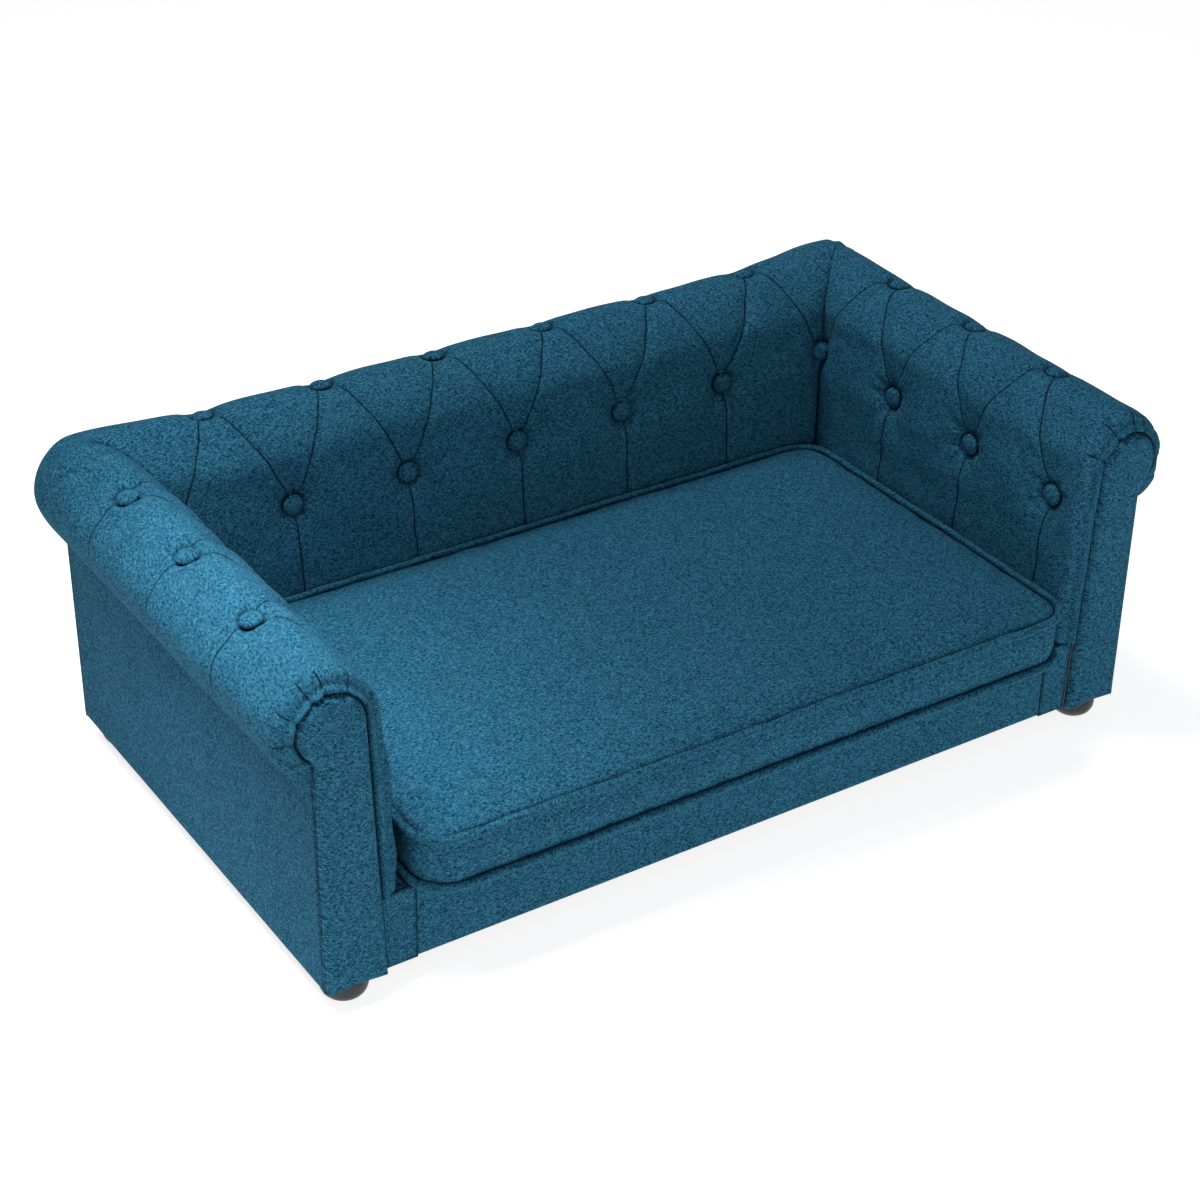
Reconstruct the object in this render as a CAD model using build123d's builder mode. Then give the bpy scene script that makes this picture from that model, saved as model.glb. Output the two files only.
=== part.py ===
from build123d import *
import os
from math import cos, pi, radians, sin

# A tufted sofa bed for a small pet. A plywood frame on four bun feet carries rolled arms and a rolled
# back in buttoned linen, and a loose boxed cushion lies on the seat deck.
# X runs across the seat, the front faces -Y, the floor is Z = 0, and all lengths are millimetres.

# Base, measured over the covers
base_width = 800.0
base_depth = 462.5
foot_height = 19.0
seat_height = 70.0

# Rolls of the arms and the back: a card tube under the padding, its centre above the base's underside
roll_height = 238.0
roll_radius = 46.5
roll_tube_radius = 28.5
roll_tube_wall = 4.0
arm_roll_inset = 16.0
back_roll_inset = 41.5

# Padding around a roll and down its inner face
face_lean = 7.5
lip_reach = 40.5
lip_drop = 26.0
neck_drop = 40.0
shoulder_turn = 55.0
tuft_puff = 4.0
tuft_hollow = 1.5
roll_slack = 4.0
pleat_sink = 2.5
dimple_sink = 7.0
pad_edge_round = 7.0
front_dimple_reach = 16.0

# Buttons: where they sit on the padding, their pitch along the arms, and how many show low on the back
button_radius = 9.5
button_rim = 1.5
button_dome = 4.0
button_play = 0.5
top_button_turn = 78.0
top_button_seat = 35.0
low_button_drop = 38.0
low_button_seat = 1.5
corner_button_seat = 10.0
arm_pitch = 110.0
arm_first_top = 111.5
arm_low_lead = 62.5
arm_rows = 3
back_lows = 5

# Plywood, rails and covers
ply_thickness = 9.0
rail_thickness = 12.0
board_gap = 0.5
cover_thickness = 4.0
lining_thickness = 1.0
panel_thickness = 9.0
panel_edge_round = 4.0
panel_neck_round = 8.0
corner_round = 3.0
strip_reach = 13.0
lip_width = 60.0
lip_play = 2.0

# Feet, their glue blocks and screws
foot_inset = 26.0
foot_radius = 19.5
foot_top_radius = 16.5
foot_base_radius = 13.0
block_length = 28.0
block_height = 30.0
screw_radius = 2.0
screw_head_radius = 4.0
screw_head_height = 3.0
screw_length = 34.0
screw_play = 0.2
counterbore_depth = 6.0

# Seat cushion, boxed and piped
cushion_overhang = 20.0
cushion_side_gap = 6.0
cushion_rear_gap = 2.0
cushion_rest_gap = 0.3
cushion_corner = 36.0
boxing_height = 45.0
boxing_bulge = 3.5
piping_radius = 3.75
crown_height = 8.0
crown_run = 150.0
underside_tuck = 12.0
cloth_thickness = 1.5

# Zip across the rear of the boxing
zip_length = 480.0
zip_tape_width = 20.0
zip_tape_thickness = 0.8
zip_chain_width = 5.0
zip_chain_height = 1.2
zip_stop_length = 4.0
zip_play = 0.3
slider_length = 12.0
slider_width = 9.0
slider_nose_width = 6.0
slider_thickness = 1.8

# Steps from one button to the next, as shares of the way, and how sharply a dimple closes
tuft_step_shares = (0.0, 0.12, 0.5, 0.88)
dimple_power = 6
# Where the inner face's knee and belly lie between the pleat and the seat, and how its swell changes there
knee_share = 0.34
belly_share = 0.67
swell_share = 1.15
skirt_share = 0.65
# Front edge of an arm's padding: shares of the rounding, along the arm and into it
edge_shares = ((0.0, 1.0), (0.3, 0.3), (1.0, 0.0))
# Levels of the boxing, as shares of its height, and how much of the bulge each has
bulge_level_shares = ((0.25, 1.0), (0.75, 1.0))
# Crown of the cushion, as shares of its run inward and of its height
crown_shares = ((0.08, 0.4), (0.25, 0.7), (0.55, 0.92), (1.0, 1.0))
# How deep the boxes under a roll reach up into its tube
tube_root_share = 0.7

# Places that follow from the sizes above
base_z = foot_height + lining_thickness
seat_z = base_z + seat_height
roll_z = base_z + roll_height
overall_depth = cushion_overhang + base_depth + roll_radius - back_roll_inset
front_y = cushion_overhang - overall_depth / 2
rear_y = front_y + base_depth
pad_front_y = front_y + panel_thickness
frame_front_y = pad_front_y + rail_thickness
arm_roll_x = base_width / 2 - arm_roll_inset
back_roll_y = rear_y - back_roll_inset
board_face = roll_tube_radius + board_gap + ply_thickness
seat_face = roll_radius + face_lean
face_drop = roll_height - seat_height
arm_side_face = arm_roll_inset - cover_thickness
back_board_y = back_roll_y - board_face
rear_board_y = rear_y - cover_thickness - ply_thickness
deck_half_width = arm_roll_x - board_face

os.makedirs("parts", exist_ok=True)


def arm_plane(y):
    """Cross section of the left arm: local X points outward, local Y up, from the roll's centre."""
    return Plane(origin=(-arm_roll_x, y, roll_z), x_dir=(-1, 0, 0), z_dir=(0, 1, 0))


def back_plane(x):
    """Cross section of the back: local X points to the rear, local Y up, from the roll's centre."""
    return Plane(origin=(x, back_roll_y, roll_z), x_dir=(0, 1, 0), z_dir=(1, 0, 0))


def post_edge(height):
    """How far the inner edge of an arm's front stands from the roll's axis, at a height above the base."""
    return board_face - (board_face - roll_tube_radius) * height / roll_height


def keyhole(plane, side_face):
    """Outline of an arm's front: the roll's round end over a post that widens towards the base."""
    with BuildSketch(plane) as outline:
        Circle(roll_tube_radius)
        with BuildLine():
            Polyline(
                (side_face, 0),
                (-roll_tube_radius, 0),
                (-board_face, -roll_height),
                (side_face, -roll_height),
                close=True,
            )
        make_face()
        neck = outline.vertices().group_by(Axis.X)[-2].sort_by(Axis.Y)[-1]
        fillet(neck, panel_neck_round)
    return outline.sketch


def skin_point(run, rise):
    """Point on the padding: run follows the roll from its outer side and then goes down the face."""
    half_turn = pi * roll_radius
    if run <= half_turn:
        turn = run / roll_radius
        return ((roll_radius + rise) * cos(turn), (roll_radius + rise) * sin(turn))
    drop = run - half_turn
    return (-roll_radius - face_lean * drop / face_drop - rise, -drop)


def pad_section(plane, pleat, sink, inset):
    """Closed cross section of a pad. The pleat crosses it at the top button (0), the low one (1)
    or between them, sunk by sink. The linen lies a little slack over the roll and swells on the face."""
    run_shoulder = roll_radius * radians(shoulder_turn)
    run_top = roll_radius * radians(top_button_turn)
    run_low = pi * roll_radius + low_button_drop
    run_hem = pi * roll_radius + face_drop
    run_pleat = run_top + (run_low - run_top) * pleat
    run_knee = run_pleat + (run_hem - run_pleat) * knee_share
    run_belly = run_pleat + (run_hem - run_pleat) * belly_share
    swell = tuft_puff * (1 - pleat) - tuft_hollow * pleat
    lip = (lip_reach - inset, -lip_drop + inset / 2)
    shoulder = skin_point(run_shoulder, -roll_slack / 2 - inset)
    valley = skin_point(run_pleat, -sink - inset)
    knee = skin_point(run_knee, swell - inset)
    belly = skin_point(run_belly, swell - inset)
    hem = skin_point(run_hem, -inset)
    over_roll = skin_point((run_shoulder + run_pleat) / 2, -roll_slack * pleat - inset)
    under_pleat = skin_point((run_pleat + run_knee) / 2, -roll_slack * (1 - pleat / 2) - inset)
    on_face = skin_point((run_knee + run_belly) / 2, swell * swell_share - inset)
    on_skirt = skin_point((run_belly + run_hem) / 2, swell * skirt_share - inset)
    with BuildSketch(plane) as section:
        with BuildLine():
            ThreePointArc(lip, skin_point(0, -inset), shoulder)
            ThreePointArc(shoulder, over_roll, valley)
            ThreePointArc(valley, under_pleat, knee)
            ThreePointArc(knee, on_face, belly)
            ThreePointArc(belly, on_skirt, hem)
            Polyline(
                hem,
                (-board_face, -face_drop),
                (arm_side_face, -neck_drop),
                (arm_roll_inset, -neck_drop),
                lip,
            )
        make_face()
    return section.sketch


def tuft_stations(marks):
    """Stations (place, pleat, sink) through marks (place, pleat), closer together near a button."""
    stations = []
    for (start, start_pleat), (end, end_pleat) in zip(marks, marks[1:]):
        for share in tuft_step_shares:
            pleat = start_pleat + (end_pleat - start_pleat) * share
            sink = pleat_sink + (dimple_sink - pleat_sink) * abs(2 * pleat - 1) ** dimple_power
            stations.append((start + (end - start) * share, pleat, sink))
    stations.append((marks[-1][0], marks[-1][1], dimple_sink))
    return stations


# Tuft pattern: low buttons carry a pleat value of 1 and top buttons one of 0
arm_tops = [front_y + arm_first_top + arm_pitch * row for row in range(arm_rows)]
arm_lows = [top - arm_low_lead for top in arm_tops]
arm_marks = []
for low, top in zip(arm_lows, arm_tops):
    arm_marks.append((low, 1))
    arm_marks.append((top, 0))
arm_marks.append((back_roll_y - roll_radius, 1))
corner_x = arm_roll_x - roll_radius
back_pitch = 2 * corner_x / (back_lows + 1)
back_lows_x = [back_pitch * (row - (back_lows - 1) / 2) for row in range(back_lows)]
back_tops_x = [back_pitch * (row - back_lows / 2) for row in range(back_lows + 1)]
back_marks = [(-corner_x, 1)]
for top, low in zip(back_tops_x, back_lows_x):
    back_marks.append((top, 0))
    back_marks.append((low, 1))
back_marks.append((back_tops_x[-1], 0))
back_marks.append((corner_x, 1))


# Core: the space that the frame takes inside the padding
with BuildPart() as arm_core:
    with BuildSketch(arm_plane(pad_front_y)):
        Circle(roll_tube_radius)
    extrude(amount=back_roll_y + roll_tube_radius - pad_front_y)
    extrude(keyhole(arm_plane(pad_front_y), arm_side_face), amount=rail_thickness)
    with BuildSketch(arm_plane(frame_front_y)):
        with BuildLine():
            Polyline(
                (-board_face, board_gap),
                (0, board_gap),
                (0, -roll_tube_radius * tube_root_share),
                (arm_side_face, -roll_tube_radius * tube_root_share),
                (arm_side_face, -roll_height),
                (-board_face, -roll_height),
                close=True,
            )
        make_face()
    extrude(amount=rear_board_y - frame_front_y)
with BuildPart() as back_core:
    with BuildSketch(back_plane(-arm_roll_x)):
        Circle(roll_tube_radius)
        with BuildLine():
            Polyline(
                (-board_face, board_gap),
                (0, board_gap),
                (arm_side_face, 0),
                (arm_side_face, -roll_height),
                (-board_face, -roll_height),
                close=True,
            )
        make_face()
    extrude(amount=2 * arm_roll_x)
with BuildPart() as core:
    add(arm_core.part)
    mirror(arm_core.part, about=Plane.YZ)
    add(back_core.part)

# Seats of the buttons, each a plane on the floor of its dimple, facing out of the padding
top_turn = radians(top_button_turn)
top_seat = (top_button_seat * cos(top_turn), top_button_seat * sin(top_turn), 0)
low_seat = (-board_face - low_button_seat, -low_button_drop, 0)
arm_top_seats = []
for y in arm_tops:
    place = arm_plane(y).from_local_coords(top_seat)
    arm_top_seats.append(Plane(origin=place, z_dir=(-cos(top_turn), 0, sin(top_turn))))
arm_low_seats = []
for y in arm_lows:
    place = arm_plane(y).from_local_coords(low_seat)
    arm_low_seats.append(Plane(origin=place, z_dir=(1, 0, 0)))
back_top_seats = []
for x in back_tops_x:
    place = back_plane(x).from_local_coords(top_seat)
    back_top_seats.append(Plane(origin=place, z_dir=(0, cos(top_turn), sin(top_turn))))
back_low_seats = []
for x in back_lows_x:
    place = back_plane(x).from_local_coords(low_seat)
    back_low_seats.append(Plane(origin=place, z_dir=(0, -1, 0)))
corner_step = corner_button_seat * sin(radians(45))
left_corner_seat = Plane(
    origin=(-deck_half_width + corner_step, back_board_y - corner_step, roll_z - low_button_drop),
    z_dir=(1, -1, 0),
)
right_corner_seat = Plane(
    origin=(deck_half_width - corner_step, back_board_y - corner_step, roll_z - low_button_drop),
    z_dir=(-1, -1, 0),
)

# Space for a button over its seat, cut out of the padding down to the seat
with BuildPart() as button_well:
    Cylinder(button_radius + button_play, 2 * roll_radius, align=(Align.CENTER, Align.CENTER, Align.MIN))

# Button: a covered disc with a domed face
with BuildPart() as button:
    with BuildSketch(Plane.XZ):
        with BuildLine():
            Polyline((0, button_rim + button_dome), (0, 0), (button_radius, 0), (button_radius, button_rim))
            RadiusArc(
                (button_radius, button_rim),
                (0, button_rim + button_dome),
                -(button_radius**2 + button_dome**2) / (2 * button_dome),
            )
        make_face()
    revolve(axis=Axis.Z)

# Mitre planes: an arm's padding ends and the back's begins on a vertical plane through the rolls' crossing
left_mitre = Plane(origin=(-arm_roll_x, back_roll_y, roll_z), z_dir=(1, 1, 0))
right_mitre = Plane(origin=(arm_roll_x, back_roll_y, roll_z), z_dir=(-1, 1, 0))

# Arm padding: foam and linen over the roll and down the inner face, drawn in by the buttons and pleats
arm_sections = []
for along_share, inset_share in edge_shares:
    edge_y = pad_front_y + pad_edge_round * along_share
    arm_sections.append(pad_section(arm_plane(edge_y), 1, 0, pad_edge_round * inset_share))
arm_sections.append(pad_section(arm_plane(arm_lows[0] - front_dimple_reach), 1, 0, 0))
for y, pleat, sink in tuft_stations(arm_marks):
    arm_sections.append(pad_section(arm_plane(y), pleat, sink, 0))
arm_sections.append(pad_section(arm_plane(back_roll_y), 1, dimple_sink, 0))
with BuildPart() as left_arm_pad:
    loft(arm_sections, ruled=True)
    split(bisect_by=left_mitre, keep=Keep.BOTTOM)
    add(core.part, mode=Mode.SUBTRACT)
    with Locations(*arm_top_seats, *arm_low_seats, left_corner_seat):
        add(button_well.part, mode=Mode.SUBTRACT)
with BuildPart() as right_arm_pad:
    mirror(left_arm_pad.part, about=Plane.YZ)

# Back padding: the same section across the back, with a rounded outer corner at each end
back_sections = [pad_section(back_plane(-arm_roll_x), 1, dimple_sink, 0)]
for x, pleat, sink in tuft_stations(back_marks):
    back_sections.append(pad_section(back_plane(x), pleat, sink, 0))
back_sections.append(pad_section(back_plane(arm_roll_x), 1, dimple_sink, 0))
with BuildSketch(Plane.XY) as outer_half:
    add(pad_section(Plane.XY, 1, dimple_sink, 0))
    with Locations((0, -neck_drop)):
        Rectangle(
            2 * roll_radius,
            2 * roll_radius + neck_drop,
            align=(Align.MIN, Align.MIN),
            mode=Mode.INTERSECT,
        )
with BuildPart() as left_corner:
    with BuildSketch(arm_plane(back_roll_y)):
        add(outer_half.sketch)
    revolve(axis=Axis((-arm_roll_x, back_roll_y, 0), (0, 0, -1)), revolution_arc=90)
    add(core.part, mode=Mode.SUBTRACT)
with BuildPart() as back_pad:
    loft(back_sections, ruled=True)
    split(bisect_by=left_mitre, keep=Keep.TOP)
    split(bisect_by=right_mitre, keep=Keep.TOP)
    add(core.part, mode=Mode.SUBTRACT)
    add(left_corner.part)
    mirror(left_corner.part, about=Plane.YZ)
    with Locations(*back_top_seats, *back_low_seats, left_corner_seat, right_corner_seat):
        add(button_well.part, mode=Mode.SUBTRACT)

# Buttons, one group of loose solids for each row
with BuildPart() as left_arm_top_buttons:
    with Locations(*arm_top_seats):
        add(button.part)
with BuildPart() as left_arm_low_buttons:
    with Locations(*arm_low_seats):
        add(button.part)
with BuildPart() as right_arm_top_buttons:
    mirror(left_arm_top_buttons.part, about=Plane.YZ)
with BuildPart() as right_arm_low_buttons:
    mirror(left_arm_low_buttons.part, about=Plane.YZ)
with BuildPart() as back_top_buttons:
    with Locations(*back_top_seats):
        add(button.part)
with BuildPart() as back_low_buttons:
    with Locations(*back_low_seats):
        add(button.part)
with BuildPart() as corner_buttons:
    with Locations(left_corner_seat, right_corner_seat):
        add(button.part)


# Front panels: a padded board in linen over the end of each arm
with BuildPart() as left_front_panel:
    extrude(keyhole(arm_plane(front_y), arm_roll_inset), amount=panel_thickness)
    fillet(left_front_panel.edges().group_by(Axis.Y)[0], panel_edge_round)
with BuildPart() as right_front_panel:
    mirror(left_front_panel.part, about=Plane.YZ)

# Front formers: the plywood end of each arm, which the padding is stapled round
with BuildPart() as left_front_former:
    extrude(keyhole(arm_plane(pad_front_y), arm_side_face), amount=rail_thickness)
with BuildPart() as right_front_former:
    mirror(left_front_former.part, about=Plane.YZ)

# Roll tubes: card tubes that the padding is wrapped round
with BuildPart() as left_roll_tube:
    with BuildSketch(arm_plane(frame_front_y)):
        Circle(roll_tube_radius)
        Circle(roll_tube_radius - roll_tube_wall, mode=Mode.SUBTRACT)
    extrude(amount=back_roll_y + roll_tube_radius - frame_front_y)
with BuildPart() as right_roll_tube:
    mirror(left_roll_tube.part, about=Plane.YZ)
back_tube_end = arm_roll_x - roll_tube_radius - board_gap
with BuildPart() as back_roll_tube:
    with BuildSketch(back_plane(-back_tube_end)):
        Circle(roll_tube_radius)
        Circle(roll_tube_radius - roll_tube_wall, mode=Mode.SUBTRACT)
    extrude(amount=2 * back_tube_end)

# Inner boards stand beside the tubes, and outer boards stand under them
with BuildPart() as left_inner_board:
    with BuildSketch(Plane.XY.offset(base_z)):
        with Locations((-deck_half_width, frame_front_y)):
            Rectangle(ply_thickness, back_board_y - frame_front_y, align=(Align.MAX, Align.MIN))
    extrude(amount=roll_height)
with BuildPart() as right_inner_board:
    mirror(left_inner_board.part, about=Plane.YZ)
with BuildPart() as left_outer_board:
    with BuildSketch(Plane.XY.offset(base_z)):
        with Locations((-arm_roll_x - arm_side_face, frame_front_y)):
            Rectangle(ply_thickness, rear_board_y - frame_front_y, align=(Align.MIN, Align.MIN))
    extrude(amount=roll_height - roll_tube_radius - board_gap)
with BuildPart() as right_outer_board:
    mirror(left_outer_board.part, about=Plane.YZ)
with BuildPart() as back_inner_board:
    with BuildSketch(Plane.XY.offset(base_z)):
        with Locations((0, back_board_y)):
            Rectangle(2 * back_tube_end, ply_thickness, align=(Align.CENTER, Align.MIN))
    extrude(amount=roll_height)
with BuildPart() as rear_board:
    with BuildSketch(Plane.XY.offset(base_z)):
        with Locations((0, rear_board_y)):
            Rectangle(2 * (arm_roll_x + arm_side_face), ply_thickness, align=(Align.CENTER, Align.MIN))
    extrude(amount=roll_height - neck_drop)

# Base rails and the deck that the cushion lies on
with BuildPart() as front_rail:
    with BuildSketch(Plane.XY.offset(base_z)):
        with Locations((0, pad_front_y + cover_thickness)):
            Rectangle(2 * deck_half_width, rail_thickness, align=(Align.CENTER, Align.MIN))
    extrude(amount=seat_height - lining_thickness - ply_thickness)
with BuildPart() as rear_rail:
    with BuildSketch(Plane.XY.offset(base_z)):
        with Locations((0, back_board_y)):
            Rectangle(2 * deck_half_width, rail_thickness, align=(Align.CENTER, Align.MAX))
    extrude(amount=seat_height - lining_thickness - ply_thickness)
rail_back_y = pad_front_y + cover_thickness + rail_thickness
with BuildPart() as seat_stretcher:
    with BuildSketch(Plane.XY.offset(base_z)):
        with Locations((0, rail_back_y)):
            Rectangle(
                rail_thickness,
                back_board_y - rail_thickness - rail_back_y,
                align=(Align.CENTER, Align.MIN),
            )
    extrude(amount=seat_height - lining_thickness - ply_thickness)
with BuildPart() as seat_deck:
    with BuildSketch(Plane.XY.offset(seat_z - lining_thickness - ply_thickness)):
        with Locations((0, pad_front_y + cover_thickness)):
            Rectangle(
                2 * deck_half_width,
                back_board_y - pad_front_y - cover_thickness,
                align=(Align.CENTER, Align.MIN),
            )
    extrude(amount=ply_thickness)

# Covers: linen on the rail with a lip over the deck, a strip of linen between the rail and each arm's
# front, lining on the deck, and linen on the sides and rear
rail_cover_half = arm_roll_x - seat_face - strip_reach
with BuildPart() as front_rail_cover:
    with BuildSketch(Plane.XY.offset(base_z)):
        with Locations((0, pad_front_y)):
            Rectangle(2 * rail_cover_half, cover_thickness, align=(Align.CENTER, Align.MIN))
    extrude(amount=seat_height)
    with BuildSketch(Plane.XY.offset(seat_z - lining_thickness)):
        with Locations((0, pad_front_y + cover_thickness)):
            Rectangle(2 * deck_half_width, lip_width, align=(Align.CENTER, Align.MIN))
    extrude(amount=lining_thickness)
with BuildPart() as left_front_strip:
    with BuildSketch(Plane(origin=(0, pad_front_y, base_z), x_dir=(1, 0, 0), z_dir=(0, -1, 0))):
        with BuildLine():
            Polyline(
                (-arm_roll_x + post_edge(0), 0),
                (-rail_cover_half, 0),
                (-rail_cover_half, seat_height),
                (-arm_roll_x + post_edge(seat_height), seat_height),
                close=True,
            )
        make_face()
    extrude(amount=-cover_thickness)
with BuildPart() as right_front_strip:
    mirror(left_front_strip.part, about=Plane.YZ)
with BuildPart() as deck_cover:
    with BuildSketch(Plane.XY.offset(seat_z - lining_thickness)):
        with Locations((0, back_board_y)):
            Rectangle(
                2 * deck_half_width,
                back_board_y - pad_front_y - cover_thickness - lip_width,
                align=(Align.CENTER, Align.MAX),
            )
    extrude(amount=lining_thickness)
with BuildPart() as left_side_cover:
    with BuildSketch(Plane.XY.offset(base_z)):
        with Locations((-base_width / 2, pad_front_y)):
            Rectangle(
                cover_thickness,
                base_depth - panel_thickness - cover_thickness,
                align=(Align.MIN, Align.MIN),
            )
    extrude(amount=roll_height - neck_drop)
with BuildPart() as right_side_cover:
    mirror(left_side_cover.part, about=Plane.YZ)
with BuildPart() as rear_cover:
    with BuildSketch(Plane.XY.offset(base_z)):
        with Locations((0, rear_y)):
            Rectangle(base_width, cover_thickness, align=(Align.CENTER, Align.MAX))
    extrude(amount=roll_height - lip_drop - lip_play)
    fillet(rear_cover.edges().filter_by(Axis.Z).group_by(Axis.Y)[-1], corner_round)

# Feet under the arm boxes, with the glue blocks and screws that hold them
foot_x = base_width / 2 - foot_inset
foot_places = [
    (-foot_x, front_y + foot_inset),
    (foot_x, front_y + foot_inset),
    (-foot_x, rear_y - foot_inset),
    (foot_x, rear_y - foot_inset),
]
foot_names = ["front_left_foot", "front_right_foot", "rear_left_foot", "rear_right_foot"]
with BuildPart() as foot:
    with BuildSketch(Plane.XZ):
        with BuildLine():
            Line((foot_base_radius, 0), (0, 0))
            Line((0, 0), (0, foot_height))
            Line((0, foot_height), (foot_top_radius, foot_height))
            ThreePointArc(
                (foot_top_radius, foot_height),
                (foot_radius, foot_height / 2),
                (foot_base_radius, 0),
            )
        make_face()
    revolve(axis=Axis.Z)
    with Locations(Plane.XY.rotated((180, 0, 0))):
        CounterBoreHole(
            radius=screw_radius + screw_play,
            counter_bore_radius=screw_head_radius + screw_play,
            counter_bore_depth=counterbore_depth,
            depth=foot_height,
        )
with BuildPart() as foot_screws:
    with BuildSketch(Plane.XY.offset(counterbore_depth - screw_head_height)):
        with Locations(*foot_places):
            Circle(screw_head_radius)
    extrude(amount=screw_head_height)
    with BuildSketch(Plane.XY.offset(counterbore_depth)):
        with Locations(*foot_places):
            Circle(screw_radius)
    extrude(amount=screw_length)
with BuildPart() as foot_blocks:
    block_x = arm_roll_x - board_face + ply_thickness
    block_width = board_face - ply_thickness + arm_side_face - ply_thickness
    with BuildSketch(Plane.XY.offset(base_z)):
        for side, align_x in ((-1, Align.MAX), (1, Align.MIN)):
            with Locations((side * block_x, frame_front_y)):
                Rectangle(block_width, block_length, align=(align_x, Align.MIN))
            with Locations((side * block_x, rear_board_y)):
                Rectangle(block_width, block_length, align=(align_x, Align.MAX))
    extrude(amount=block_height)
    with BuildSketch(Plane.XY.offset(base_z)):
        with Locations(*foot_places):
            Circle(screw_radius + screw_play)
    extrude(amount=block_height, mode=Mode.SUBTRACT)
with BuildPart() as dust_cover:
    with BuildSketch(Plane.XY.offset(foot_height)):
        with Locations((0, front_y + panel_thickness)):
            Rectangle(
                2 * (arm_roll_x + arm_side_face),
                rear_board_y + ply_thickness - pad_front_y,
                align=(Align.CENTER, Align.MIN),
            )
        with Locations(*foot_places):
            Circle(screw_radius + screw_play, mode=Mode.SUBTRACT)
    extrude(amount=lining_thickness)

# Cushion: its box is the space between the arms, out past the front panels
cushion_half = arm_roll_x - seat_face - cushion_side_gap
cushion_front = front_y - cushion_overhang
cushion_rear = back_roll_y - seat_face - cushion_rear_gap
cushion_mid = (cushion_front + cushion_rear) / 2
cushion_length = cushion_rear - cushion_front
low_seam_z = seat_z + cushion_rest_gap + piping_radius
high_seam_z = low_seam_z + boxing_height


def cushion_level(z, inset, corner):
    """Rounded outline of the cushion at one height, drawn in from its largest outline."""
    with BuildSketch(Plane.XY.offset(z)) as level:
        with Locations((0, cushion_mid)):
            RectangleRounded(2 * (cushion_half - inset), cushion_length - 2 * inset, corner)
    return level.sketch


def cushion_levels(skin):
    """Levels of the stuffed form from the underside to the crown, under a skin of that thickness."""
    seam = 2 * piping_radius + skin
    corner = cushion_corner - seam
    levels = [
        cushion_level(low_seam_z - piping_radius + skin, seam + underside_tuck, corner - underside_tuck),
        cushion_level(low_seam_z + skin / 2, seam, corner),
        cushion_level(low_seam_z + piping_radius, seam, corner),
    ]
    for height_share, bulge_share in bulge_level_shares:
        bulge = boxing_bulge * bulge_share
        levels.append(cushion_level(low_seam_z + boxing_height * height_share, seam - bulge, corner + bulge))
    levels.append(cushion_level(high_seam_z - piping_radius, seam, corner))
    levels.append(cushion_level(high_seam_z - skin / 2, seam, corner))
    for run_share, height_share in crown_shares:
        level_z = high_seam_z + crown_height * height_share - skin
        inset = seam + crown_run * run_share
        levels.append(cushion_level(level_z, inset, corner * (1 - run_share / 2)))
    return levels


with BuildPart() as cushion_insert:
    loft(cushion_levels(cloth_thickness), ruled=True)
with BuildPart() as cushion_cover:
    loft(cushion_levels(0), ruled=True)
    add(cushion_insert.part, mode=Mode.SUBTRACT)
with BuildPart() as cushion_top_panel:
    add(cushion_cover.part)
    split(bisect_by=Plane.XY.offset(high_seam_z), keep=Keep.TOP)
with BuildPart() as cushion_bottom_panel:
    add(cushion_cover.part)
    split(bisect_by=Plane.XY.offset(low_seam_z), keep=Keep.BOTTOM)
with BuildPart() as cushion_boxing:
    add(cushion_cover.part)
    split(bisect_by=Plane.XY.offset(high_seam_z), keep=Keep.BOTTOM)
    split(bisect_by=Plane.XY.offset(low_seam_z), keep=Keep.TOP)


def piping_loop(z):
    """Cord in a strip of linen, sewn into a seam all round the cushion."""
    path = cushion_level(z, piping_radius, cushion_corner - piping_radius).wire()
    with BuildSketch(Plane(origin=path @ 0, z_dir=path % 0)) as cord:
        Circle(piping_radius)
    return cord.sketch, path


with BuildPart() as top_piping:
    cord_section, cord_path = piping_loop(high_seam_z)
    sweep(cord_section, path=cord_path)
with BuildPart() as bottom_piping:
    cord_section, cord_path = piping_loop(low_seam_z)
    sweep(cord_section, path=cord_path)

# Zip: a tape and chain on the flat of the rear boxing, with a stop at each end, and its slider
zip_z = (low_seam_z + high_seam_z) / 2
tape_y = cushion_rear - 2 * piping_radius + boxing_bulge
chain_y = tape_y + zip_tape_thickness
zip_plane = Plane(origin=(0, tape_y, zip_z), x_dir=(-1, 0, 0), z_dir=(0, 1, 0))
with BuildPart() as cushion_zip:
    with BuildSketch(zip_plane):
        Rectangle(zip_length, zip_tape_width)
    extrude(amount=zip_tape_thickness)
    with BuildSketch(zip_plane.offset(zip_tape_thickness)):
        Rectangle(zip_length, zip_chain_width)
    extrude(amount=zip_chain_height)
    with BuildSketch(zip_plane.offset(zip_tape_thickness + zip_chain_height)):
        with GridLocations(zip_length - zip_stop_length, 0, 2, 1):
            Rectangle(zip_stop_length, zip_chain_width)
    extrude(amount=zip_play)
slider_x = zip_length / 2 - zip_stop_length - zip_play - slider_length / 2
slider_travel = 2 * slider_x
with BuildPart() as zip_slider:
    with BuildSketch(zip_plane.offset(zip_tape_thickness + zip_chain_height + zip_play)):
        with BuildLine():
            Polyline(
                (slider_x - slider_length / 2, slider_nose_width / 2),
                (slider_x + slider_length / 2, slider_width / 2),
                (slider_x + slider_length / 2, -slider_width / 2),
                (slider_x - slider_length / 2, -slider_nose_width / 2),
                close=True,
            )
        make_face()
    extrude(amount=slider_thickness)
    fillet(zip_slider.edges().filter_by(Axis.Y), slider_thickness / 2)

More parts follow.
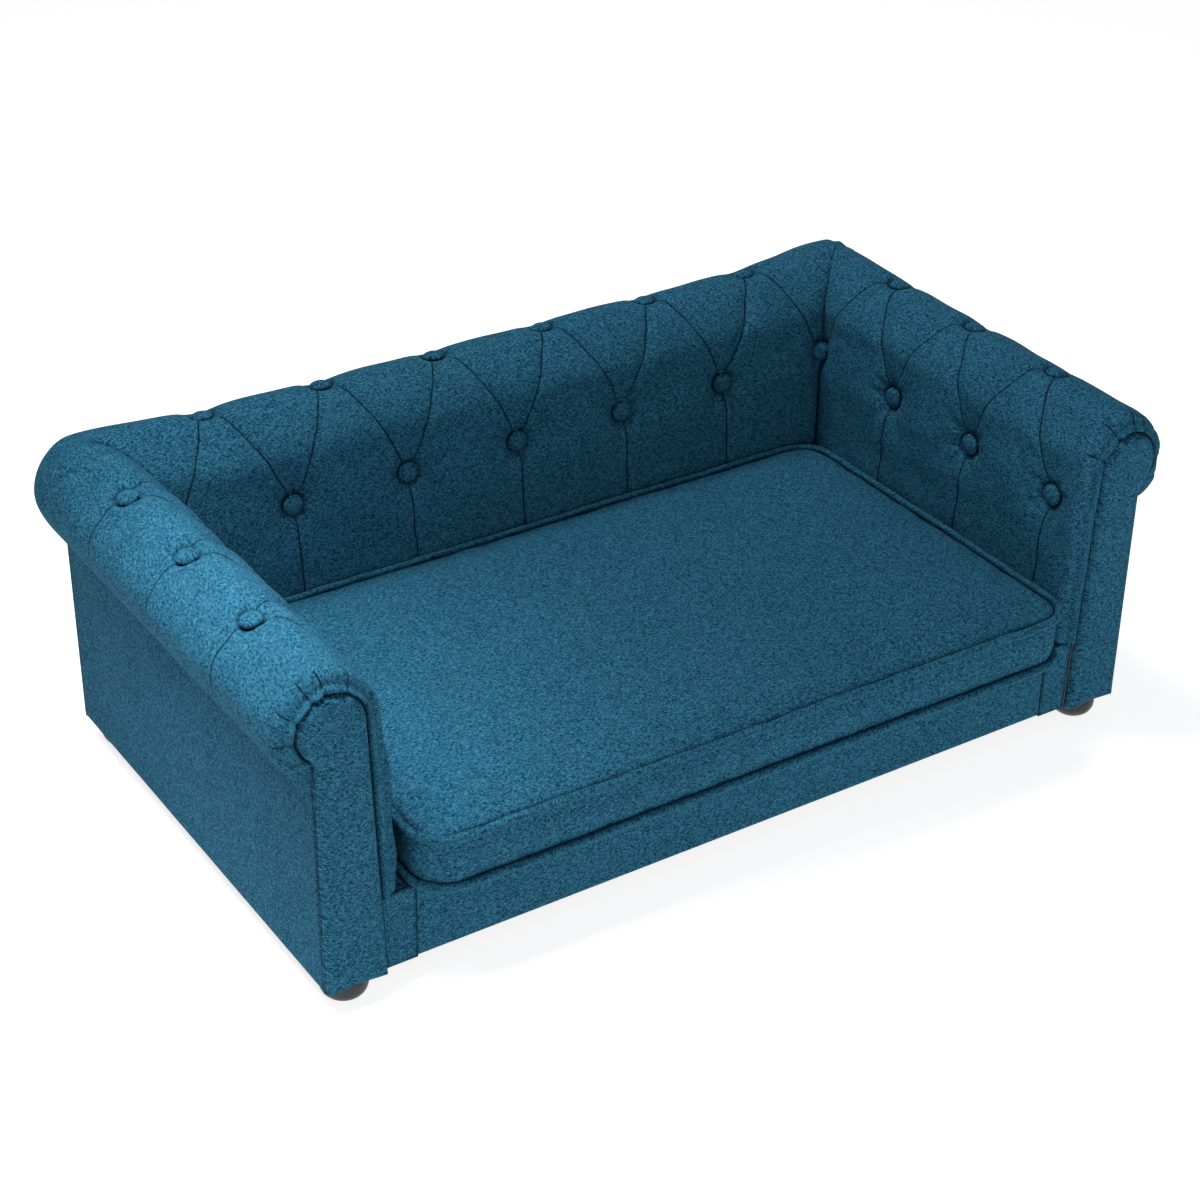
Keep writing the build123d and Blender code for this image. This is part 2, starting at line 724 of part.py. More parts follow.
pieces = {
    "left_front_former": left_front_former,
    "right_front_former": right_front_former,
    "left_inner_board": left_inner_board,
    "right_inner_board": right_inner_board,
    "left_outer_board": left_outer_board,
    "right_outer_board": right_outer_board,
    "back_inner_board": back_inner_board,
    "rear_board": rear_board,
    "front_rail": front_rail,
    "rear_rail": rear_rail,
    "seat_stretcher": seat_stretcher,
    "seat_deck": seat_deck,
    "foot_blocks": foot_blocks,
    "foot_screws": foot_screws,
    "left_roll_tube": left_roll_tube,
    "right_roll_tube": right_roll_tube,
    "back_roll_tube": back_roll_tube,
    "left_arm_pad": left_arm_pad,
    "right_arm_pad": right_arm_pad,
    "back_pad": back_pad,
    "left_side_cover": left_side_cover,
    "right_side_cover": right_side_cover,
    "rear_cover": rear_cover,
    "front_rail_cover": front_rail_cover,
    "left_front_strip": left_front_strip,
    "right_front_strip": right_front_strip,
    "left_front_panel": left_front_panel,
    "right_front_panel": right_front_panel,
    "deck_cover": deck_cover,
    "dust_cover": dust_cover,
    "left_arm_top_buttons": left_arm_top_buttons,
    "left_arm_low_buttons": left_arm_low_buttons,
    "right_arm_top_buttons": right_arm_top_buttons,
    "right_arm_low_buttons": right_arm_low_buttons,
    "back_top_buttons": back_top_buttons,
    "back_low_buttons": back_low_buttons,
    "corner_buttons": corner_buttons,
    "cushion_insert": cushion_insert,
    "cushion_top_panel": cushion_top_panel,
    "cushion_bottom_panel": cushion_bottom_panel,
    "cushion_boxing": cushion_boxing,
    "top_piping": top_piping,
    "bottom_piping": bottom_piping,
    "cushion_zip": cushion_zip,
    "zip_slider": zip_slider,
}
for name, piece in pieces.items():
    piece.part.label = name
    export_step(piece.part, f"parts/{name}.step")
for name, place in zip(foot_names, foot_places):
    with BuildPart() as placed_foot:
        with Locations(place):
            add(foot.part)
    placed_foot.part.label = name
    export_step(placed_foot.part, f"parts/{name}.step")
print("slider travel", round(slider_travel, 3))
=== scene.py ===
"""A small tufted sofa for a pet: rolled arms and back in buttoned teal linen, a piped cushion, bun feet."""
import math

import bmesh
import bpy
import numpy as np
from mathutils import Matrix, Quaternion, Vector


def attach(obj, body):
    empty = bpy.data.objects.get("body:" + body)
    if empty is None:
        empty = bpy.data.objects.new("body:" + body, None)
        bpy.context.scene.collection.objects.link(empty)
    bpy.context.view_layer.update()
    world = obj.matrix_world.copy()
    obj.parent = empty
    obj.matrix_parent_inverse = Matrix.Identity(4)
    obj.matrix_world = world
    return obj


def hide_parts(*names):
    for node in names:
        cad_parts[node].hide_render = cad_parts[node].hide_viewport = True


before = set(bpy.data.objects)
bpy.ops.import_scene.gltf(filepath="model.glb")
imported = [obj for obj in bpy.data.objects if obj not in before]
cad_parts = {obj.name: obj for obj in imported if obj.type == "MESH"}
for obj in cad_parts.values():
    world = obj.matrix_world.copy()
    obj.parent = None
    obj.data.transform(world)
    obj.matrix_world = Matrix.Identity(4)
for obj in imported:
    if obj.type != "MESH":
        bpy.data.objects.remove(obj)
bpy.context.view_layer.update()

# Camera: a long lens in front of the left arm, looking down on the seat. It was placed by fitting the
# sofa's straight edges to the photograph.
camera_place = Vector((-1.0679, -1.60135, 1.2887))
camera_target = Vector((0, 0.02625, 0.120))
camera_roll = math.radians(0.7)
camera = bpy.data.objects.new("camera", bpy.data.cameras.new("camera"))
camera.data.sensor_width = 36
camera.data.lens = 77.29
camera.data.shift_x = 0.00485
camera.data.shift_y = -0.00058
camera.location = camera_place
camera.rotation_mode = "QUATERNION"
camera_aim = (camera_target - camera_place).to_track_quat("-Z", "Y")
camera.rotation_quaternion = camera_aim @ Quaternion((0, 0, 1), camera_roll)
bpy.context.scene.collection.objects.link(camera)
bpy.context.scene.camera = camera

# Studio: a white floor that glows a little, a small gridded box over the left arm, a large one overhead
# behind the back, a weak fill from the front, and a room that is white along the horizon and dim overhead.
floor_half = 40.0
floor_shade, floor_glow = 0.72, 0.78
horizon_low, horizon_high = 0.06, 0.20
horizon_glow, overhead_glow = 0.95, 0.15
floor_mesh = bpy.data.meshes.new("floor")
floor_turns = ((-1, -1), (1, -1), (1, 1), (-1, 1))
floor_mesh.from_pydata([(x * floor_half, y * floor_half, 0) for x, y in floor_turns], [], [(0, 1, 2, 3)])
floor = bpy.data.objects.new("floor", floor_mesh)
bpy.context.scene.collection.objects.link(floor)
floor_material = bpy.data.materials.new("studio_floor")
floor_material.use_nodes = True
floor_shader = floor_material.node_tree.nodes["Principled BSDF"]
floor_shader.inputs["Base Color"].default_value = (floor_shade, floor_shade, floor_shade, 1)
floor_shader.inputs["Roughness"].default_value = 0.9
floor_shader.inputs["Specular IOR Level"].default_value = 0.1
floor_shader.inputs["Emission Color"].default_value = (1, 1, 1, 1)
floor_shader.inputs["Emission Strength"].default_value = floor_glow
floor_mesh.materials.append(floor_material)


def soft_box(name, place, target, size, power, spread=180.0):
    """A square area lamp aimed from its place at the target. A grid on it narrows its spread, in degrees."""
    lamp = bpy.data.lights.new(name, "AREA")
    lamp.shape = "SQUARE"
    lamp.size = size
    lamp.energy = power
    lamp.spread = math.radians(spread)
    holder = bpy.data.objects.new(name, lamp)
    holder.visible_camera = False
    holder.location = place
    holder.rotation_mode = "QUATERNION"
    holder.rotation_quaternion = (Vector(target) - Vector(place)).to_track_quat("-Z", "Y")
    bpy.context.scene.collection.objects.link(holder)


soft_box("arm_light", (-0.54, -0.10, 0.85), (-0.45, -0.10, 0.25), size=0.34, power=1.05, spread=60.0)
soft_box("top_light", (-0.1, 0.42, 1.8), (0.05, -0.05, 0.1), size=0.6, power=20.0)
soft_box("front_light", (-0.35, -2.3, 1.0), (0, 0, 0.1), size=0.8, power=11.0)


def add_node(tree, kind, inputs, **settings):
    """Adds a shader node, each input a number, a colour or another node's output. Gives its first output."""
    node = tree.nodes.new("ShaderNode" + kind)
    for key, value in settings.items():
        setattr(node, key, value)
    for key, value in inputs.items():
        if isinstance(value, bpy.types.NodeSocket):
            tree.links.new(value, node.inputs[key])
        else:
            node.inputs[key].default_value = value
    return node.outputs[0]


def spread_over(tree, value, low, high, at_low=0.0, at_high=1.0):
    """The value's way from low to high, laid out from at_low to at_high and held there."""
    return add_node(tree, "MapRange", {0: value, 1: low, 2: high, 3: at_low, 4: at_high})


room = bpy.data.worlds.new("room")
room.use_nodes = True
backdrop = room.node_tree.nodes["Background"]
backdrop.inputs["Color"].default_value = (1, 1, 1, 1)
heading = room.node_tree.nodes.new("ShaderNodeSeparateXYZ")
room.node_tree.links.new(add_node(room.node_tree, "TexCoord", {}), heading.inputs[0])
glow = spread_over(room.node_tree, heading.outputs[2], horizon_low, horizon_high, horizon_glow, overhead_glow)
room.node_tree.links.new(glow, backdrop.inputs["Strength"])
bpy.context.scene.world = room
bpy.context.scene.view_settings.view_transform = "Standard"

# Frame: birch plywood formers, boards, rails and deck, glued and stapled, with glue blocks over the feet. The
# grain runs along X and the plies show as fine lines on cut edges.


def new_finish(name, roughness, metallic=0.0):
    """A material of one Principled shader, with its node tree, the shader and the place on the object."""
    material = bpy.data.materials.new(name)
    material.use_nodes = True
    tree = material.node_tree
    shader = tree.nodes["Principled BSDF"]
    shader.inputs["Roughness"].default_value = roughness
    shader.inputs["Metallic"].default_value = metallic
    return material, tree, shader, tree.nodes.new("ShaderNodeTexCoord").outputs["Object"]


def add_math(tree, operation, first, *others):
    """One sum on numbers or outputs."""
    return add_node(tree, "Math", dict(enumerate((first, *others))), operation=operation)


def mix_colours(tree, share, first, second, blend="MIX"):
    """Colour from the first to the second by share, or the two multiplied."""
    mixed = add_node(tree, "Mix", {0: share, 6: first, 7: second}, data_type="RGBA", blend_type=blend)
    return mixed.node.outputs[2]


def colour_by(tree, shader, share, dark, light):
    """Colours the shader between dark and light by share."""
    tree.links.new(mix_colours(tree, share, dark, light), shader.inputs["Base Color"])


def add_bump(tree, shader, height, distance, strength=1.0):
    """Roughens the shader's surface by that height, in metres for a full step."""
    bump = add_node(tree, "Bump", {"Height": height, "Distance": distance, "Strength": strength})
    tree.links.new(bump, shader.inputs["Normal"])


def finish_nodes(material, *names):
    """Gives CAD nodes that keep their own shape a finish."""
    for name in names:
        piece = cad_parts[name]
        if not piece.material_slots:
            piece.data.materials.append(material)
        for slot in piece.material_slots:
            slot.material = material


plywood, tree, shader, place = new_finish("birch_plywood", 0.62)
grain_place = add_node(tree, "Mapping", {"Vector": place, "Scale": (6, 60, 60)})
grain = add_node(tree, "TexNoise", {"Vector": grain_place, "Scale": 4.0, "Detail": 5.0, "Distortion": 0.6})
plies = {"Vector": place, "Scale": 110.0, "Distortion": 0.4}
ply = add_node(tree, "TexWave", plies, bands_direction="DIAGONAL")
tone = add_math(tree, "MULTIPLY_ADD", ply, 0.25, grain)
colour_by(tree, shader, tone, (0.40, 0.27, 0.15, 1), (0.74, 0.58, 0.39, 1))
add_bump(tree, shader, grain, 0.0004)
finish_nodes(
    plywood, "left_front_former", "right_front_former", "left_inner_board", "right_inner_board",
    "left_outer_board", "right_outer_board", "back_inner_board", "rear_board", "front_rail", "rear_rail",
    "seat_stretcher", "seat_deck", "foot_blocks",
)

# Card tubes: spiral-wound brown card under the rolls of the arms and the back, glued to the boards. They keep
# their CAD form, and the winding shows as slanted lines round the tube.
card, tree, shader, place = new_finish("wound_card", 0.85)
turns = {"Vector": place, "Scale": 9.0, "Distortion": 1.2}
winding = add_node(tree, "TexWave", turns, bands_direction="DIAGONAL")
pulp = add_node(tree, "TexNoise", {"Vector": place, "Scale": 900.0, "Detail": 3.0})
tone = add_math(tree, "MULTIPLY_ADD", winding, 0.3, pulp)
colour_by(tree, shader, tone, (0.30, 0.20, 0.12, 1), (0.55, 0.42, 0.28, 1))
add_bump(tree, shader, pulp, 0.0002)
finish_nodes(card, "left_roll_tube", "right_roll_tube", "back_roll_tube")

# Screws: zinc-plated steel, driven up through the feet into the blocks. They keep their CAD form and have
# fine turning marks.
steel, tree, shader, place = new_finish("plated_steel", 0.32, 1.0)
turning = add_node(tree, "TexNoise", {"Vector": place, "Scale": 1500.0, "Detail": 2.0})
colour_by(tree, shader, turning, (0.46, 0.46, 0.48, 1), (0.72, 0.72, 0.72, 1))
add_bump(tree, shader, turning, 0.00005)
finish_nodes(steel, "foot_screws")

# Bun feet: black moulded plastic in their CAD form, each held by its screw, with a fine spark-eroded grain
# and dull scuffs here and there.
foot_plastic, tree, shader, place = new_finish("moulded_black_plastic", 0.38)
grain = add_node(tree, "TexNoise", {"Vector": place, "Scale": 1400.0, "Detail": 2.0})
scuffs = add_node(tree, "TexNoise", {"Vector": place, "Scale": 60.0, "Detail": 6.0, "Roughness": 0.7})
colour_by(tree, shader, scuffs, (0.006, 0.006, 0.007, 1), (0.022, 0.022, 0.023, 1))
tree.links.new(spread_over(tree, scuffs, 0.3, 0.7, 0.28, 0.5), shader.inputs["Roughness"])
add_bump(tree, shader, grain, 0.00006)
finish_nodes(foot_plastic, "front_left_foot", "front_right_foot", "rear_left_foot", "rear_right_foot")

# Tufted padding: foam and linen wrapped over the rolls of the arms and the back and down to the seat, drawn
# in by twine at each button. Slack between the buttons lies in pleats, and the pads meet in a sewn mitre.
yarn_pitch = 0.0012
warp_colours = (0.002, 0.020, 0.046, 1), (0.040, 0.208, 0.345, 1)
weft_colours = (0.003, 0.038, 0.084, 1), (0.073, 0.328, 0.515, 1)
warp_share = 0.65
slub_rates = 620.0, 360.0
slub_ranges = (0.30, 0.72), (0.31, 0.74)
yarn_apart = 7.37
sets_apart = 3.1
# Painted shade: the dips of each yarn and the gaps between yarns are darkened toward this colour.
painted_yarn_gap_shade = (0.30, 0.30, 0.30, 1)
faded, fresh = (0.88, 0.89, 0.90, 1), (1.10, 1.10, 1.09, 1)
# Painted shade: the first of the next two colours darkens creases, button dimples, seams and edges where the
# mesh marks them, and the second paints a thin shadow line along each pleat.
painted_fold_shade = (0.16, 0.18, 0.20, 1)
painted_pleat_shadow = (0.07, 0.08, 0.10, 1)
pleat_line_mm = 0.85
unmarked_mm = 9.0
shade_marks = ("painted_shade", "pleat", "near")
white = (1, 1, 1, 1)


def weave_nodes(tree, pitch):
    """Plain weave on the piece's own map, in metres: yarns of one pitch run both ways, each with a round
    back, and the one on top changes like a chessboard. Every yarn has thin and thick stretches. Gives colour
    and height."""
    spot = add_node(tree, "UVMap", {}, uv_map="weave")
    drift = add_node(tree, "TexNoise", {"Vector": spot, "Scale": 30.0, "Detail": 1.0})
    shift = add_math(tree, "MULTIPLY", add_math(tree, "SUBTRACT", drift, 0.5), 2.0)
    parts = tree.nodes.new("ShaderNodeSeparateXYZ")
    tree.links.new(spot, parts.inputs[0])
    numbers, backs, colours = [], [], []
    for axis, ends in ((0, warp_colours), (1, weft_colours)):
        across = add_math(tree, "ADD", add_math(tree, "DIVIDE", parts.outputs[axis], pitch), shift)
        number = add_math(tree, "FLOOR", across)
        half_circle = add_math(tree, "MULTIPLY", add_math(tree, "FRACT", across), math.pi)
        seat = add_node(tree, "CombineXYZ", {
            0: add_math(tree, "MULTIPLY", parts.outputs[1 - axis], slub_rates[axis]),
            1: add_math(tree, "MULTIPLY", number, yarn_apart),
            2: sets_apart * axis,
        })
        slub = add_node(tree, "TexNoise", {"Vector": seat, "Scale": 1.0, "Detail": 0.8, "Roughness": 0.6})
        numbers.append(number)
        backs.append(add_math(tree, "SINE", half_circle))
        colours.append(mix_colours(tree, spread_over(tree, slub, *slub_ranges[axis]), *ends))
    half = add_math(tree, "MULTIPLY", add_math(tree, "ADD", *numbers), 0.5)
    over = add_math(tree, "MULTIPLY", add_math(tree, "FRACT", half), 2.0)
    under = add_math(tree, "SUBTRACT", 1.0, over)
    colour = mix_colours(tree, add_math(tree, "MULTIPLY", over, warp_share), colours[1], colours[0])
    heights = (add_math(tree, "MULTIPLY", back, way) for back, way in zip(backs, (over, under)))
    height = add_math(tree, "ADD", *heights)
    # Painted shade: each yarn darkens where its round back falls away, so the gaps between yarns read dark.
    shade = mix_colours(tree, add_math(tree, "MULTIPLY", height, height), painted_yarn_gap_shade, white)
    return mix_colours(tree, 1.0, colour, shade, "MULTIPLY"), height


def linen_finish(name, pitch):
    """Two-tone slubbed linen. Use has faded it unevenly. Where the mesh marks a fold, painted shade darkens
    it, and along a pleat's own line, whose distance the mesh carries in millimetres, a fine painted shadow
    line darkens it while the bump turns it under in a fine step."""
    material, tree, shader, place = new_finish(name, 0.9)
    colour, height = weave_nodes(tree, pitch)
    marks = {}
    for mark in shade_marks:
        node = tree.nodes.new("ShaderNodeAttribute")
        node.attribute_name = mark
        marks[mark] = node.outputs["Fac"]
    # Painted shadow: a thin dark line along each pleat, as strong as the near mark.
    gap = add_math(tree, "DIVIDE", marks["pleat"], pleat_line_mm)
    line = add_math(tree, "EXPONENT", add_math(tree, "MULTIPLY", add_math(tree, "MULTIPLY", gap, gap), -1.0))
    line = add_math(tree, "MULTIPLY", line, marks["near"])
    fade = add_node(tree, "TexNoise", {"Vector": place, "Scale": 9.0, "Detail": 4.0})
    # Random fading, then painted shade in marked creases and a painted shadow line along each pleat.
    tints_and_painted_shade = (fade, faded, fresh), (marks["painted_shade"], white, painted_fold_shade), (line, white, painted_pleat_shadow)
    for share, bare, full in tints_and_painted_shade:
        colour = mix_colours(tree, 1.0, colour, mix_colours(tree, share, bare, full), "MULTIPLY")
    tree.links.new(colour, shader.inputs["Base Color"])
    shader.inputs["Specular IOR Level"].default_value = 0.03
    shader.inputs["Sheen Weight"].default_value = 0.03
    shader.inputs["Sheen Roughness"].default_value = 0.4
    shader.inputs["Sheen Tint"].default_value = (0.20, 0.70, 0.95, 1)
    step = add_math(tree, "MULTIPLY", spread_over(tree, marks["pleat"], -0.7, 0.7, 0.0, 1.6), marks["near"])
    relief = add_math(tree, "ADD", height, step)
    relief = add_math(tree, "SUBTRACT", relief, add_math(tree, "MULTIPLY", line, 1.4))
    add_bump(tree, shader, relief, 0.0005, 0.28)
    return material


def join_patches(name, patches, material, outward=True):
    """One mesh from grids: each patch is points (rows, columns, 3), its weave place in metres (rows, columns,
    2), and its painted shade marks, which are fold shade, pleat distance and pleat line strength (rows,
    columns,
    3), or its fold shade alone. Edge points that two grids share are merged, and the faces turned outward."""
    points, weaves, painted_shades, quads, count = [], [], [], [], 0
    for grid, weave, painted_shade in patches:
        painted_shade = np.asarray(painted_shade, float)
        if painted_shade.ndim < 3:
            painted_shade = np.stack([painted_shade, unmarked_mm + 0 * painted_shade, 0 * painted_shade], axis=-1)
        rows, columns = grid.shape[:2]
        index = count + np.arange(rows * columns).reshape(rows, columns)
        round_quad = [index[:-1, :-1], index[1:, :-1], index[1:, 1:], index[:-1, 1:]]
        quads.append(np.stack(round_quad, axis=-1).reshape(-1, 4))
        points.append(grid.reshape(-1, 3))
        weaves.append(np.broadcast_to(weave, (rows, columns, 2)).reshape(-1, 2))
        painted_shades.append(np.broadcast_to(painted_shade, (rows, columns, 3)).reshape(-1, 3))
        count += rows * columns
    points, weaves, painted_shades, quads = (np.concatenate(part) for part in (points, weaves, painted_shades, quads))
    mesh = bpy.data.meshes.new(name)
    mesh.from_pydata(points.tolist(), [], quads.tolist())
    layer = mesh.uv_layers.new(name="weave")
    layer.data.foreach_set("uv", weaves[quads.ravel()].astype(np.float32).ravel())
    for number, mark in enumerate(shade_marks):
        values = mesh.attributes.new(mark, "FLOAT", "POINT").data
        values.foreach_set("value", painted_shades[:, number].astype(np.float32))
    shell = bmesh.new()
    shell.from_mesh(mesh)
    bmesh.ops.remove_doubles(shell, verts=shell.verts, dist=2e-5)
    if outward:
        bmesh.ops.recalc_face_normals(shell, faces=shell.faces)
    shell.to_mesh(mesh)
    shell.free()
    mesh.shade_smooth()
    mesh.materials.append(material)
    piece = bpy.data.objects.new(name, mesh)
    bpy.context.scene.collection.objects.link(piece)
    return piece


def dress(piece, slot, body, *nodes):
    """Ties a finished piece to its body and hides the CAD nodes that it stands for. Its slot is not used."""
    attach(piece, body)
    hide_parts(*nodes)


def soft_noise(place, seed, size, waves=7):
    """Smooth uneven wave along one or two directions: a sum of sines of seeded directions, lengths near size
    and phases, from about -1 to 1. Place is an array with the directions last."""
    rng = np.random.default_rng(seed)
    total = np.zeros(place.shape[:-1])
    for _ in range(waves):
        heading = rng.normal(size=place.shape[-1])
        heading *= 2 * math.pi / (size * rng.uniform(0.6, 1.6) * np.linalg.norm(heading))
        total += np.sin(place @ heading + rng.uniform(0, 2 * math.pi))
    return total / math.sqrt(waves)


teal_linen = linen_finish("teal_linen", yarn_pitch)

roll_radius = 0.0465
tube_clear = 0.0289
board_clear = 0.0384
face_lean = 0.0075
face_drop = 0.168
roll_z = 0.258
arm_roll_x = 0.384
back_roll_y = 0.19725
pad_front_y = -0.21475
pad_foot = (0.0163, -0.0400)
foot_heel = (0.0250, pad_foot[1])
foot_knee_length = 0.009
inner_foot = 0.0124
tuck_turn = math.radians(35)
half_turn = math.pi * roll_radius
run_tuck = -tuck_turn * roll_radius
run_foot = run_tuck - 0.027
run_hem = half_turn + face_drop
top_button_turn = math.radians(78)
run_top_button = top_button_turn * roll_radius
run_low_button = half_turn + 0.038
button_clear = 0.0100
former_foot, former_lean, former_drop = 0.0380, 0.0095, 0.238
tube_turns = np.radians([-64.6, 0, 90, 178])
core_tuck_up, core_step_ups = -0.0261, (0.0010, 0.0009)
roll_flatness, skin_unevenness = 0.0034, 0.0006
face_fullness, face_swell = 0.0024, 0.0030
pleat_wander = 0.0005
pleat_reach, hem_reach, gather_reach = 0.0125, 0.0080, 0.0032
hem_depth, gather_depth = 0.0026, 0.0017
slant_depths = 0.0042, 0.0040
arm_corner_depth, back_corner_depths = 0.0022, (0.0024, 0.0018)
deepest_sink = 0.0134
top_funnel = dict(seat=0.0085, near_share=0.94, near_spread=0.0048, far_spread=0.014, rayed=0.0, hang=1.0)
low_funnel = dict(seat=0.0126, near_share=0.50, near_spread=0.0055, far_spread=0.023, rayed=0.30, hang=0.0)


def part_of(value, whole):
    """The value as a share of the whole, held between 0 and 1."""
    return np.clip(value / whole, 0, 1)


def bell(gap, width):
    """1 at no gap and falling off smoothly with it, by exp(-(gap / width)^2)."""
    return np.exp(-((gap / width) ** 2))


def roll_section(run):
    """Place and direction of a pad's skin by its length over the roll, 0 at the outer side. It is a circle
    over the roll, a leaning line down the face, and under the outer side a cubic curve that turns in to the
    foot. Outward and up, in metres."""
    turn = np.clip(run, run_tuck, half_turn) / roll_radius
    out, up = roll_radius * np.cos(turn), roll_radius * np.sin(turn)
    side, rise = np.cos(turn), np.sin(turn)
    drop = np.clip(run - half_turn, 0, None)
    out, up = out - face_lean * drop / face_drop, up - drop
    share = part_of(run_tuck - run, run_tuck - run_foot)[..., None]
    start = np.array([roll_radius * math.cos(tuck_turn), -roll_radius * math.sin(tuck_turn)])
    knee = start + foot_knee_length * np.array([-math.sin(tuck_turn), -math.cos(tuck_turn)])
    curve = start * (1 - share) ** 3 + 3 * knee * share * (1 - share) ** 2
    curve = curve + 3 * np.array(foot_heel) * share**2 * (1 - share) + np.array(pad_foot) * share**3
    under = share[..., 0] > 0
    return np.where(under, curve[..., 0], out), np.where(under, curve[..., 1], up), side, rise


def core_section(run):
    """Inner wall of a pad, matched to the skin by the same length: up the board, over the tube and down to
    the foot."""
    arc = np.interp(run, [run_tuck, 0, half_turn / 2, half_turn], tube_turns)
    below = run < run_tuck
    foot_up = np.interp(run, [run_foot, run_tuck], [pad_foot[1], core_tuck_up])
    out = np.where(below, inner_foot, tube_clear * np.cos(arc))
    up = np.where(below, foot_up, tube_clear * np.sin(arc))
    step = half_turn + 0.003
    board_out = np.interp(run, [half_turn, step], [-tube_clear, -board_clear])
    board_up = np.interp(run, [half_turn, step, run_hem], [*core_step_ups, -face_drop])
    return np.where(run > half_turn, board_out, out), np.where(run > half_turn, board_up, up)


def segment_gap(along, run, ends):
    """Distance of points to a straight stroke, with the side it lies on and the share of the way along it."""
    (a0, r0), (a1, r1) = ends
    da, dr = a1 - a0, r1 - r0
    length = math.hypot(da, dr)
    share = np.clip(((along - a0) * da + (run - r0) * dr) / length**2, 0, 1)
    side = ((along - a0) * dr - (run - r0) * da) / length
    return np.hypot(along - a0 - share * da, run - r0 - share * dr), side, share


def button_funnel(across, down, rng, seat, near_share, near_spread, far_spread, rayed, hang):
    """How deep a button draws the skin in, and how far each point lies outside its rim. A near part falls as
    exp(-out / spread) and a far one as exp(-(out / spread)^1.4). Rays are small creases round the rim, and
    the near part of a button that hangs reaches further below it."""
    angle = np.arctan2(down, across)
    rays = sum(np.cos(count * angle + rng.uniform(0, 6.28)) for count in (5, 7, 11)) / 3
    out = np.clip(np.hypot(across, down) - button_clear, 0, None)
    near_spread = near_spread * (1 + (part_of(down, 0.012) - 0.3) * hang)
    near, far = np.exp(-out / near_spread), np.exp(-((out / far_spread) ** 1.4))
    funnel = seat * (near_share * near + (1 - near_share) * far)
    return funnel * (1 + rayed * rays * bell(out - 0.011, 0.008)), out


def tufted(along, run, tops, lows, pleats, seed):
    """How far a pad's skin stands off its roll, in metres, with its painted shade marks: fold shade round the
    buttons, distance to the nearest pleat, and how strongly that pleat's painted shadow line and step show.
    Each pleat is a broad soft valley with a sharper floor, and each button a funnel. Between them the linen
    swells."""
    rng = np.random.default_rng(seed)
    turn = np.clip(run, 0, half_turn) / roll_radius
    here = np.stack([along, run], axis=-1)
    level = -roll_flatness * np.sin(2 * turn) ** 2 + skin_unevenness * soft_noise(here, seed, 0.055)
    on_face = part_of(run - half_turn, 0.05) * part_of(run_hem - run, 0.03)
    level = level + on_face * (face_fullness + face_swell * bell(run - run_low_button, 0.032))
    sink, painted_shade, near = np.zeros_like(along), np.zeros_like(along), np.zeros_like(along)
    nearest, signed = np.full(along.shape, 1.0), np.full(along.shape, unmarked_mm)
    wander = pleat_wander * soft_noise(here, seed + 1, 0.045)
    for ends, depth, reach, lean in pleats:
        gap, side, share = segment_gap(along + wander, run + wander, ends)
        width = np.where(side * lean > 0, 0.55 * reach, reach)
        strength = depth * rng.uniform(0.85, 1.15)
        grown = 0.35 + 0.65 * part_of(share, 0.4)
        valley = 0.55 * bell(gap, width) + 0.45 * np.exp(-gap / (0.35 * width))
        sink = np.hypot(sink, strength * grown * valley)
        closer = gap < nearest
        nearest = np.where(closer, gap, nearest)
        signed = np.where(closer, side * lean * 1000, signed)
        fade = 0.25 + 0.75 * part_of(np.minimum(share, 1 - share), 0.14) ** 0.5
        # How strongly the pleat's painted shadow line shows here.
        shown = part_of(strength, 0.0012) * np.exp(-((gap / 0.0030) ** 4)) * fade
        near = np.where(closer, shown, near)
    for row, centre, shape in ((tops, run_top_button, top_funnel), (lows, run_low_button, low_funnel)):
        for place in row:
            funnel, out = button_funnel(along - place, run - centre, rng, **shape)
            sink = (sink**3 + funnel**3) ** (1 / 3)
            # Painted shade in a ring round each button's rim, down in its dimple.
            painted_shade = np.maximum(painted_shade, 0.9 * bell(out + 0.001, 0.0036))
            near = near * (out > 0)
    fade = part_of(run_hem - run, 0.012) * part_of(run - run_tuck, 0.012)
    rise = (level - np.minimum(sink, deepest_sink)) * fade
    return rise, np.stack([painted_shade * fade, signed, near * fade], axis=-1)


def run_steps(spacing):
    """Steps over a pad from its foot to its hem, with the roll's top as one of them."""
    stops = (run_foot, run_tuck, half_turn / 2, run_hem)
    tuck, roll, face = (max(2, round((end - start) / spacing)) for start, end in zip(stops, stops[1:]))
    return np.concatenate([
        np.linspace(run_foot, run_tuck, max(4, tuck // 2), endpoint=False),
        np.linspace(run_tuck, half_turn / 2, roll, endpoint=False),
        np.linspace(half_turn / 2, run_hem, face),
    ])


# How the skin stands at the mitre, by degrees over the roll and then by metres down the face, for the arm and
# for the back: full over the top, drawn in along the seam, and down to the corner button's seat.
corner_lift = 0.0065
run_corner_button = run_low_button - corner_lift
inner_blend, outer_blend = 0.0085, 0.055
seat_step = 0.0040
corner_seat_depth = 0.0094
seam_turns = np.radians([-35, 0, 56, 90, 104, 122, 150, 180])
seam_drops = np.array([0.022, 0.038, 0.056, 0.09, 0.15, 0.168])
seam_runs = np.concatenate([seam_turns * roll_radius, half_turn + seam_drops])
shared_seam = [-0.0002, -0.0032, -0.0054, -0.0060, -0.0050, -0.0038, -0.0050, -0.0050, -0.0040, 0]
arm_seam = np.array([0, 0, -0.0005, 0.0012, *shared_seam])
back_seam = np.array([0, 0.0030, 0.0060, 0.0030, *shared_seam])


